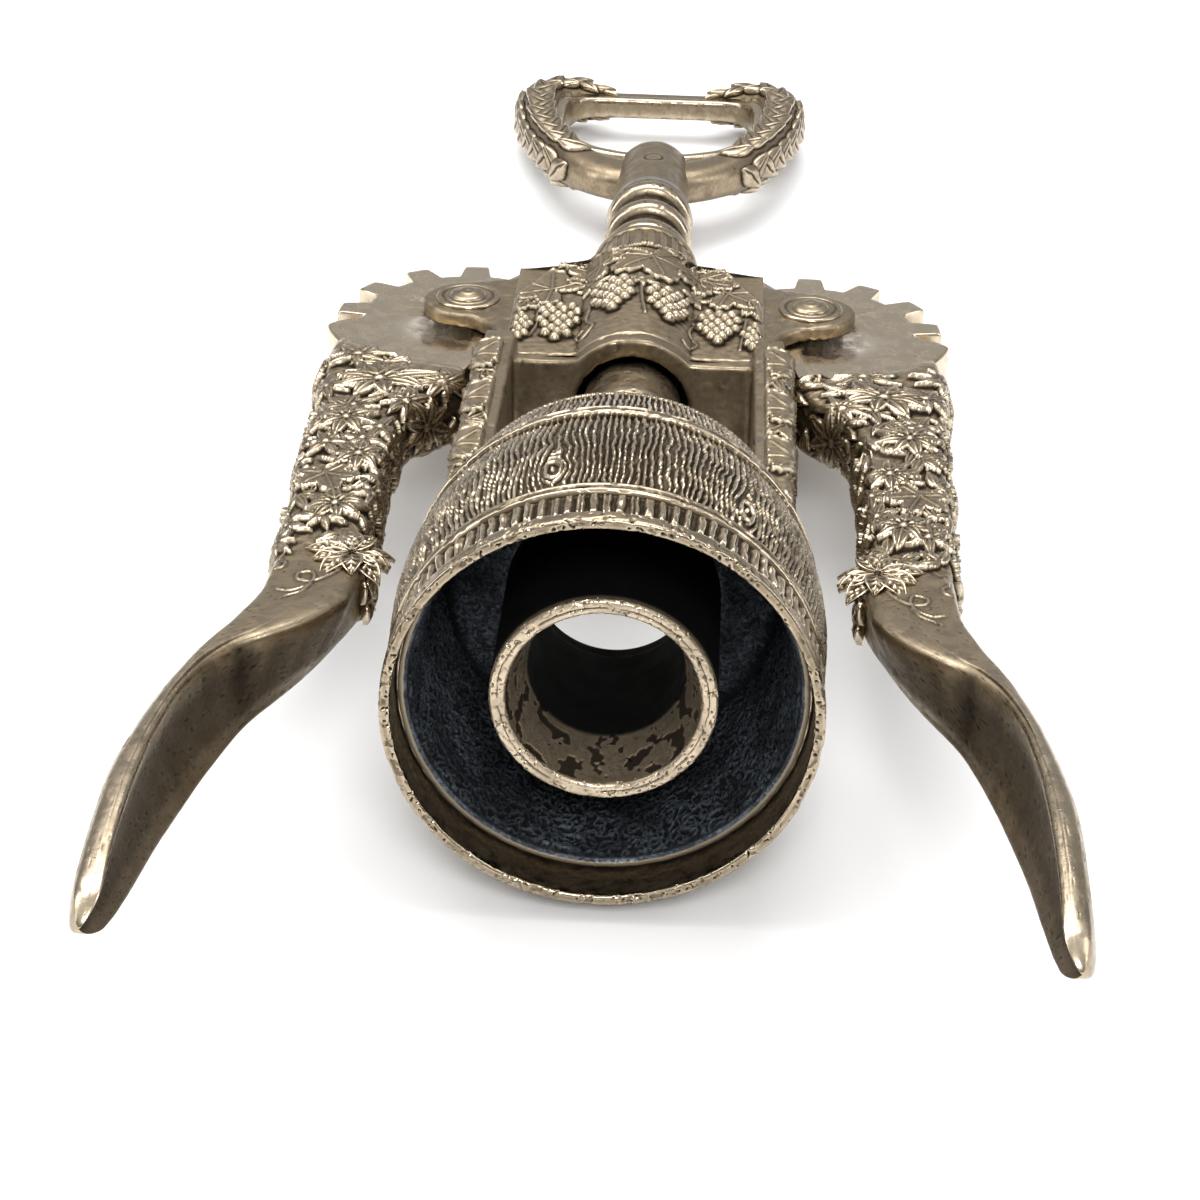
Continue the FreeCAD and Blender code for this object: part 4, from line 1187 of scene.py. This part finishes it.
def head_place(s, y, radius):
    """x and z on the head's front for arc places across it; the flats lie beside the dome."""
    reach = DOME_R * math.acos(HEAD_Z / DOME_R)
    on_dome = np.abs(s) <= np.where(radius < DOME_R - 0.01, 99.0, reach)
    angle = s / radius
    x = np.where(on_dome, radius * np.sin(angle),
                 np.sign(s) * (np.sqrt(DOME_R ** 2 - HEAD_Z ** 2) + np.abs(s) - reach))
    z = np.where(on_dome, radius * np.cos(angle), HEAD_Z)
    return x, z


def across_head(x):
    """Arc place on the head for an x."""
    edge = math.sqrt(DOME_R ** 2 - HEAD_Z ** 2)
    if abs(x) < edge:
        return DOME_R * math.asin(x / DOME_R)
    return math.copysign(DOME_R * math.acos(HEAD_Z / DOME_R) + abs(x) - edge, x)


def head_ornament(relief, seed):
    """Vine leaves, bunches of grapes and tendrils of one face of the head."""
    chooser = np.random.default_rng(seed)
    down = -math.pi / 2
    for x, y, turn, reach in (
            (-12.6, 107.5, 2.6, 7.2), (1.6, 113.5, -1.3, 7.4), (-5.6, 113.0, 2.6, 6.2),
            (12.8, 108.5, 0.2, 7.2), (8.2, 113.0, -0.4, 5.8), (-2.6, 119.5, 1.9, 4.4),
            (3.4, 119.0, 1.1, 4.6), (9.0, 119.0, 0.3, 4.2), (-8.6, 119.0, 2.6, 4.2),
            (-16.0, 103.0, 3.4, 3.6), (16.8, 103.0, -0.3, 3.6)):
        relief.vine_leaf(across_head(x), y, turn, reach, 0.72 + 0.2 * chooser.random())
    for x, y, turn in ((-6.6, 107.0, 2.6), (0.4, 104.5, 1.2), (7.8, 105.5, 0.4)):
        relief.rosette(across_head(x), y, turn, 3.0, 6, 0.65, chooser=chooser, width=0.24)
    for x, y, length, width, berry, lean in (
            (-3.6, 105.0, 15.6, 5.9, 0.80, 0.03), (4.0, 102.6, 14.8, 5.7, 0.78, 0.06),
            (-11.0, 101.8, 15.2, 5.9, 0.78, 0.0), (11.6, 101.0, 14.6, 5.8, 0.78, -0.03),
            (-16.2, 98.0, 9.4, 2.6, 0.62, 0.0), (16.6, 97.0, 9.0, 2.6, 0.62, -0.05)):
        relief.grapes(across_head(x), y, down + lean, length, width, berry, 0.12, chooser)
    for points in ([(-6.6, 99.0), (-6.9, 95.0), (-5.9, 91.5), (-7.4, 89.0), (-8.2, 90.6), (-7.2, 92.0)],
                   [(8.0, 97.0), (7.4, 93.0), (8.6, 89.6), (7.2, 87.6), (6.6, 89.0)],
                   [(-14.2, 100.0), (-14.0, 95.0), (-14.8, 91.0)],
                   [(15.4, 99.0), (15.0, 94.0), (14.6, 88.6)],
                   [(0.4, 103.0), (0.7, 98.0), (1.3, 93.0)]):
        relief.stroke([(across_head(x), y) for x, y in points], 0.24, 0.42)


def slab(shell, top, under, few, mirror):
    """Adds a relief's top, closed by fewer points of its underside."""
    columns = np.linspace(top.shape[1] - 1, 0, few).astype(int)
    shell.tube(np.concatenate([top, under[:, columns]], axis=1) * np.array(mirror))


def head_slab(shell, back):
    """Relief of the head's front or back, on a thin slab whose underside is in the casting."""
    ys = np.concatenate([np.arange(84.6, 117.5, 0.18), [117.55, 117.6], np.arange(117.65, 124.0, 0.18)])
    columns = 232
    radius = np.where(ys <= 118.0, DOME_R, np.clip(DOME_R - (ys - 118.0) * 0.5, 8.0, None))
    narrow = radius * np.arccos(4.4 / radius)
    limit = np.where(ys < 117.58, across_head(17.9), narrow)
    q = np.linspace(-1, 1, columns)[None]
    s = q * limit[:, None]
    y = np.repeat(ys[:, None], columns, 1)
    x, z = head_place(s, y, radius[:, None])
    relief = Relief(s, y)
    head_ornament(relief, 91 if back else 93)
    ground = 0.10 + 0.08 * noise(s * 0.8, y * 0.8, 0.0, 94)
    height = np.maximum(relief.grid(), ground)
    slope = smooth(-(np.abs(x) * 2.2 + y), -145.2, -143.6)
    ends = np.minimum(smooth(y, 84.6, 85.6), smooth(-y, -123.9, -123.2))
    edge = limit[:, None]
    border = np.minimum(ends * np.where(y < 117.6, slope, 1.0),
                        smooth(-np.abs(q) * edge, -edge, -edge + 0.9))
    arch = smooth(np.abs(s), 8.6, 9.6) + smooth(y, 85.4, 86.0)
    height = np.where(arch < 1, height * np.clip(arch, 0, 1) - 0.12 * (1 - np.clip(arch, 0, 1)), height)
    notch = np.minimum(close_to(x, 16.2, 17.6) + smooth(y, 87.0, 88.5), 1.0)
    height = (height + 0.35) * np.minimum(border, notch) - 0.35
    normal_x = np.where(np.abs(s) < DOME_R * math.acos(HEAD_Z / DOME_R), x / radius[:, None], 0.0)
    normal_x = np.where(radius[:, None] < DOME_R - 0.01, x / radius[:, None], normal_x)
    normal_z = np.sqrt(1 - normal_x ** 2)
    top = np.stack([x + normal_x * height, y, z + normal_z * height], -1)
    under = np.stack([x - normal_x * 0.6, y, z - normal_z * 0.6], -1)
    slab(shell, top, under, 40, (1.0, 1.0, -1.0 if back else 1.0))


FLUTES = 26
BEADS = 44


def neck_collar(shell):
    """Fluted collar of the neck with a turned lip."""
    outline = spaced_outline([
        (123.2, 7.05, 1.2), (123.2, 8.2, 0.14), (123.5, 8.55, 0.14), (124.0, 8.6, 0.14),
        (124.4, 8.3, 0.2), (131.6, 8.12, 0.2), (131.9, 8.3, 0.14), (133.2, 8.28, 0.14),
        (133.6, 7.95, 0.14), (133.62, 7.2, 0.3), (133.2, 7.03, 1.0)])
    y, r, angle = around_axis(outline, 600)
    outer = r > 7.6
    flute = smooth(np.cos(angle * FLUTES + 0.6 * noise(angle * 3, y * 0.2, 0, 101)), -0.55, 0.35)
    band = between(y, 124.3, 124.8, 131.3, 131.7) * outer
    cut = 0.34 * (1 - flute) + 0.06 * noise(angle * 20, y * 0.5, 0, 102)
    beads = 0.16 * smooth(np.cos(angle * BEADS), -0.4, 0.6) * close_to(y - 123.7, 0.2, 0.5) * outer
    shell.loop(turned_points(y, r - cut * band + beads, angle))


def leg_relief(shell, side):
    """Leaves on the outside of a leg, wrapped over its two edges."""
    half_z, inner, outer = 8.0, 17.5, 21.2
    path = np.array([(inner, half_z), (outer - 0.6, half_z), (outer, half_z - 0.6), (outer, 0.0),
                     (outer, 0.6 - half_z), (outer - 0.6, -half_z), (inner, -half_z)])
    lengths = np.r_[0, np.cumsum(np.linalg.norm(np.diff(path, axis=0), axis=1))]
    s = np.linspace(0, lengths[-1], 132)
    px, pz = np.interp(s, lengths, path[:, 0]), np.interp(s, lengths, path[:, 1])
    section = np.stack([px, pz], 1)
    for _ in range(6):
        section[1:-1] = 0.5 * section[1:-1] + 0.25 * (section[2:] + section[:-2])
    tangent = np.gradient(section, axis=0)
    normal = np.stack([-tangent[:, 1], tangent[:, 0]], 1)
    normal /= np.linalg.norm(normal, axis=1, keepdims=True)
    normal *= np.sign(normal[66, 0])
    ys = np.arange(41.6, 87.4, 0.2)
    y = np.repeat(ys[:, None], len(s), 1)
    u = np.repeat(s[None], len(ys), 0)
    relief = Relief(u, y)
    relief.cover(1.0, lengths[-1] - 0.5, 43.0, 87.0, 6.4, 111 if side > 0 else 112, lift=0.5)
    chooser = np.random.default_rng(113)
    for k, v in enumerate(np.arange(45.0, 86.0, 7.2)):
        relief.vine_leaf(4.0 if k % 2 else 19.2, v, 2.2 if k % 2 else 0.8, 5.8, 1.0)
        relief.rosette(11.6, v + 3.0, 4.6, 5.0, 8, 1.0, chooser=chooser)
    ground = 0.12 + 0.1 * noise(u * 0.8, y * 0.8, 0.0, 114)
    height = np.maximum(relief.grid(), ground)
    border = np.minimum(np.minimum(smooth(u, 0.0, 0.8), smooth(-u, -lengths[-1], -lengths[-1] + 0.8)),
                        np.minimum(smooth(y, 41.6, 42.4), smooth(-y, -87.2, -86.2)))
    height = (height + 0.4) * border - 0.4
    top = np.stack([section[None, :, 0] + normal[None, :, 0] * height, y,
                    section[None, :, 1] + normal[None, :, 1] * height], -1)
    low = np.repeat((section - normal * 0.8)[None], len(ys), 0)
    slab(shell, top, np.stack([low[..., 0], y, low[..., 1]], -1), 26, (side, 1.0, 1.0))


def build_frame_relief():
    """All relief that is cast on the frame."""
    head, collar, right, left = (Shell() for _ in range(4))
    head_slab(head, False)
    head_slab(head, True)
    neck_collar(collar)
    leg_relief(right, 1)
    leg_relief(left, -1)
    for name, shell in (("head_relief", head), ("neck_collar", collar), ("right_leg_relief", right),
                        ("left_leg_relief", left)):
        shell_piece(name, shell, RELIEF, "frame")


# ---- Handle, rack and pivots

def swept_ring(centre, side, half_side, half_up, around, power):
    """One closed section: a rounded box across a curve that lies flat."""
    t = np.linspace(0, TAU, around, endpoint=False)
    c, s = np.cos(t), np.sin(t)
    a = np.sign(c) * np.abs(c) ** (2 / power) * half_side
    b = np.sign(s) * np.abs(s) ** (2 / power) * half_up
    return np.stack([centre[0] + side[0] * a, centre[1] + side[1] * a, b], 1)


BOW_GIRTH = 25.0        # width of the handle's relief before it meets itself


def handle_side(shell, side):
    """One leafy side of the handle, from the boss round to the bar."""
    middle = stepped([(0.5, 173.8), (6.0, 175.8), (11.0, 179.4), (15.2, 185.0), (18.6, 192.6),
                      (20.6, 201.5), (21.0, 209.5), (19.4, 215.2), (15.4, 217.4), (11.0, 216.2),
                      (8.0, 215.4)], 330)
    length = np.r_[0, np.cumsum(np.linalg.norm(np.diff(middle, axis=0), axis=1))]
    share = length / length[-1]
    half_side = profile([(0.0, 4.4), (0.12, 4.2), (0.22, 3.6), (0.32, 3.0), (0.45, 2.9), (0.6, 3.4),
                         (0.72, 3.7), (0.83, 3.1), (0.92, 1.9), (1.0, 0.8)])(share)
    half_up = profile([(0.0, 3.0), (0.12, 3.0), (0.22, 3.2), (0.34, 3.5), (0.7, 3.7), (0.83, 3.2),
                       (0.92, 2.6), (1.0, 1.4)])(share)
    tangent = np.gradient(middle, axis=0)
    tangent /= np.linalg.norm(tangent, axis=1, keepdims=True)
    across = np.stack([tangent[:, 1], -tangent[:, 0]], 1)
    around = 200
    grid = np.array([swept_ring(m, a, hs, hu, around, 2.7)
                     for m, a, hs, hu in zip(middle, across, half_side, half_up)])
    u = np.repeat(np.arange(around)[None] * BOW_GIRTH / around, len(grid), 0)
    v = np.repeat(length[:, None], around, 1)
    relief = Relief(u, v, BOW_GIRTH)
    chooser = np.random.default_rng(125)
    for place in np.arange(13.5, length[-1] - 2.5, 4.4):
        for turn_u in (0.4, 6.3, 12.5, 18.7):
            for lean, start in ((0.62, 0.0), (-0.62, 2.2)):
                turn = math.pi / 2 + lean * chooser.uniform(0.8, 1.2)
                relief.plain_leaf(turn_u + 1.3 * np.sign(lean), place + start, turn, 5.8, 1.75, 1.5)
    inner_side = smooth(np.cos((u / BOW_GIRTH) * TAU + math.pi), 0.55, 0.8)
    fade = smooth(v, 11.0, 14.5) * (1 - 0.85 * inner_side)
    grid = raised(grid, relief.grid() * fade)
    shell.tube(grid * np.array([side, 1.0, 1.0]))


def handle_rim(shell):
    """Smooth rim round the slot, and the flat bar that lifts the crown cap."""
    right = [(16.4, 206.0), (16.4, 202.0), (16.4, 197.0), (15.4, 193.0), (13.4, 188.6), (10.0, 184.9),
             (5.0, 182.6), (0.0, 182.0)]
    left = [(-x, y) for x, y in right[::-1][1:]]
    top = [(-15.9, 209.8), (-14.2, 212.0), (-11.6, 212.9), (-6.0, 212.9), (0.0, 212.9), (6.0, 212.9),
           (11.6, 212.9), (14.2, 212.0), (15.9, 209.8)]
    closed = np.array(right + left + top)
    ring = ring_softened(ring_resampled(closed, 420), 3.0)
    tangent = np.roll(ring, -1, axis=0) - np.roll(ring, 1, axis=0)
    tangent /= np.linalg.norm(tangent, axis=1, keepdims=True)
    away = np.stack([tangent[:, 1], -tangent[:, 0]], 1)
    away *= np.sign(((ring - ring.mean(0)) * away).sum(1).mean())
    half_up = 2.75 - 0.9 * smooth(ring[:, 1], 209.5, 213.0)
    shell.loop(np.array([swept_ring(m + a * 1.15, a, 1.2, up, 40, 4.0)
                         for m, a, up in zip(ring, away, half_up)]))
    xs = np.linspace(-15.0, 15.0, 150)
    t = np.linspace(0, TAU, 80, endpoint=False)
    bar = []
    c, s = np.cos(t), np.sin(t)
    for x in xs:
        a = np.sign(c) * np.abs(c) ** 0.36 * 2.05
        b = np.sign(s) * np.abs(s) ** 0.30 * 1.83
        wear = 0.04 * noise(x * 0.5, 2.0, 0, 131)
        bar.append(np.stack([np.full(80, x), 214.95 + a + wear, b], 1))
    shell.tube(np.array(bar))


def build_handle():
    """Handle: boss, two leafy sides, slot rim and bar."""
    handle = Shell()
    handle_side(handle, 1)
    handle_side(handle, -1)
    handle_rim(handle)
    outline = spaced_outline([
        (160.02, 3.2, 0.5), (160.02, 5.5, 0.14), (160.4, 5.95, 0.14), (161.2, 6.0, 0.4),
        (178.6, 6.0, 0.3), (179.8, 5.6, 0.25), (180.7, 4.4, 0.25), (181.0, 2.5, 0.4),
        (181.0, 0.05, 0.5), (176.6, 0.05, 0.8), (176.6, 3.2, 1.0)])
    y, r, angle = around_axis(outline, 200)
    u, w = r * np.cos(angle), r * np.sin(angle)
    boss = np.where(r > 5.0, 0.05 * noise_round(r, y, angle)(0.5, 0.4, 132), 0.0)
    pin_ring = close_to(np.hypot(u, y - 171.0) - 1.5, 0.05, 0.35)
    ring_mark = 0.16 * pin_ring * (np.abs(w) > 3.0) * (r > 5.0)
    handle.loop(turned_points(y, r + boss - ring_mark, angle))
    shell_piece("handle_visual", handle, HANDLE, "spindle", ["handle"])


def build_rack():
    """Rack sleeve with its rings, rounded and polished on their crests."""
    ys = np.arange(73.0, 158.61, 0.2)
    radius = np.full(len(ys), 5.2)
    for n in range(8):
        d = np.abs(ys - (95.7 + 8.6 * n))
        radius = np.maximum(radius, np.interp(d, [0.0, 0.7, 1.15, 1.6, 2.1, 2.5],
                                              [6.93, 6.9, 6.78, 6.45, 5.45, 5.2]))
    radius = np.where(ys < 86.0, 5.2 + 1.65 * smooth(-ys, -86.0, -84.0), radius)
    nose = np.sqrt(np.clip(1 - ((76.0 - ys) / 3.0) ** 2, 0, 1))
    radius = np.where(ys < 76.0, 5.45 + 1.4 * nose, radius)
    radius = np.where(ys > 158.2, radius - 0.3, radius)
    bore = [[158.6, 3.16], [77.6, 3.16], [77.6, 5.28], [73.0, 5.28]]
    outline = np.concatenate([np.stack([ys, radius], 1), bore])
    y, r, angle = around_axis(outline, 220)
    outer = np.arange(len(outline))[:, None] < len(ys)
    skin = noise_round(r, y, angle)
    change = 0.04 * skin(0.6, 0.6, 141) - 0.08 * smooth(skin(1.0, 1.0, 142), 0.45, 0.55)
    shell = Shell()
    shell.loop(turned_points(y, r + np.where(outer, change, 0.0), angle))
    shell_piece("rack_visual", shell, RACK, "rack", ["rack_sleeve"])


RIVET_HEAD = [(-7.15, 0.03, 0.3), (-7.15, 1.1, 0.12), (-6.95, 1.55, 0.12), (-6.75, 2.3, 0.12),
              (-6.42, 2.68, 0.12), (-6.4, 2.0, 0.5), (6.4, 2.0, 0.3), (6.42, 2.68, 0.12),
              (6.75, 2.3, 0.12), (6.95, 1.55, 0.12), (7.15, 1.1, 0.12), (7.15, 0.03, 0.3)]
WASHER = [(6.0, 2.05, 0.2), (6.0, 4.62, 0.12), (6.22, 4.6, 0.12), (6.38, 4.4, 0.12), (6.4, 3.9, 0.1),
          (6.24, 3.7, 0.1), (6.24, 3.45, 0.1), (6.4, 3.25, 0.1), (6.4, 2.05, 0.2)]


def build_pivots():
    """Rivet head and washer of each lever, with turned circles."""
    for side, name in ((1, "right"), (-1, "left")):
        for part, faces, stops in (("pin", (1,), RIVET_HEAD), ("washers", (1, -1), WASHER)):
            shell = Shell()
            for face in faces:
                z, r, angle = around_axis(spaced_outline(stops), 120)
                shell.loop(np.stack([side * PIVOT_X + r * np.cos(angle), PIVOT_Y + r * np.sin(angle),
                                     face * z], -1))
            node = name + "_pivot_" + part
            shell_piece(node + "_visual", shell, RIVET, "frame", [node])


# ---- Floor, light and camera

def add_stage():
    """Pale floor that runs into a pale backdrop."""
    size, bend, height = 4.0, 0.6, 2.0
    rows = []
    for y in np.linspace(-size, 1.6, 12):
        rows.append((y, 0.0))
    for turn in np.linspace(0, math.pi / 2, 16)[1:]:
        rows.append((1.6 + bend * math.sin(turn), bend - bend * math.cos(turn)))
    rows.append((1.6 + bend, height))
    grid = np.array([[(x, y, z) for x in (-size, size)] for y, z in rows])
    mesh = mesh_from(grid.reshape(-1, 3), [grid_faces(len(rows), 2, False)[:, ::-1]])
    material, look = new_look("studio_floor")
    look.feed(look.shader.inputs["Base Color"], (0.86, 0.86, 0.865))
    look.feed(look.shader.inputs["Roughness"], 0.75)
    mesh.polygons.foreach_set("use_smooth", np.ones(len(mesh.polygons), bool))
    mesh.materials.append(material)
    linked("studio_floor", mesh)


def add_softbox(name, place, target, size, watts):
    """Rectangular soft light that looks at a point."""
    light = bpy.data.lights.new(name, "AREA")
    light.shape = "RECTANGLE"
    light.size, light.size_y = size
    light.energy = watts
    lamp = linked(name, light)
    lamp.location = place
    lamp.rotation_euler = (Vector(target) - Vector(place)).to_track_quat("-Z", "Y").to_euler()


def add_lights():
    """Softboxes overhead and in front, a strip each side, and a surround dark near the horizon."""
    middle = (0.0, 0.0, 0.02)
    add_softbox("top_softbox", (-0.12, 0.30, 0.80), middle, (0.85, 0.60), 7.8)
    add_softbox("left_strip", (-0.70, -0.10, 0.42), middle, (0.22, 0.8), 2.6)
    add_softbox("right_strip", (0.70, -0.10, 0.42), middle, (0.22, 0.8), 2.6)
    add_softbox("front_softbox", (0.06, -0.62, 0.60), (0.0, -0.10, 0.02), (0.30, 0.22), 3.4)
    world = bpy.data.worlds.new("surround")
    bpy.context.scene.world = world
    world.use_nodes = True
    look = Look(world.node_tree)
    background = look.tree.nodes["Background"]
    upward = look.node("SeparateXYZ", {0: look.node("TexCoord", output="Generated")}, 2)
    height = look.range(upward, -1.0, 1.0, kind="LINEAR")
    colour = look.ramp(height, [
        (0.50, (0.20, 0.20, 0.205)), (0.60, (0.26, 0.26, 0.265)), (0.78, (0.75, 0.75, 0.75)),
        (1.0, (1.0, 1.0, 1.0))])
    look.feed(background.inputs["Color"], colour)
    look.feed(background.inputs["Strength"], 0.80)


CAMERA_PLACE = (10.06, -262.77, 157.28)
CAMERA_DIP = math.radians(28.39)
CAMERA_TURN = math.radians(-2.284)
CAMERA_ROLL = math.radians(1.255)
CAMERA_LENS = 82.7
CAMERA_SENSOR = 36.0


def add_camera():
    """Camera in front of the mouth, above it and looking along the spindle."""
    ahead = Vector((math.sin(CAMERA_TURN) * math.cos(CAMERA_DIP),
                    math.cos(CAMERA_TURN) * math.cos(CAMERA_DIP), -math.sin(CAMERA_DIP)))
    level = Vector((math.cos(CAMERA_TURN), -math.sin(CAMERA_TURN), 0.0))
    above = level.cross(ahead)
    right = math.cos(CAMERA_ROLL) * level + math.sin(CAMERA_ROLL) * above
    up = math.cos(CAMERA_ROLL) * above - math.sin(CAMERA_ROLL) * level
    turn = np.array([right, up, -ahead]) @ (LAY_DOWN / MM)
    lens = bpy.data.cameras.new("camera")
    lens.sensor_width = CAMERA_SENSOR
    lens.lens = CAMERA_LENS
    lens.clip_start = 0.01
    lens.clip_end = 20.0
    camera = linked("camera", lens)
    matrix = Matrix.Identity(4)
    for column in range(3):
        for row in range(3):
            matrix[row][column] = turn[column][row]
    matrix.translation = Vector(laid_down([CAMERA_PLACE])[0])
    camera.matrix_world = matrix
    bpy.context.scene.camera = camera


build_barrel_shell()
build_liner()
build_seat_tube()
build_levers()
build_frame_casting()
build_frame_relief()
build_handle()
build_rack()
build_pivots()
add_stage()
add_lights()
add_camera()
bpy.context.scene.view_settings.view_transform = "Standard"
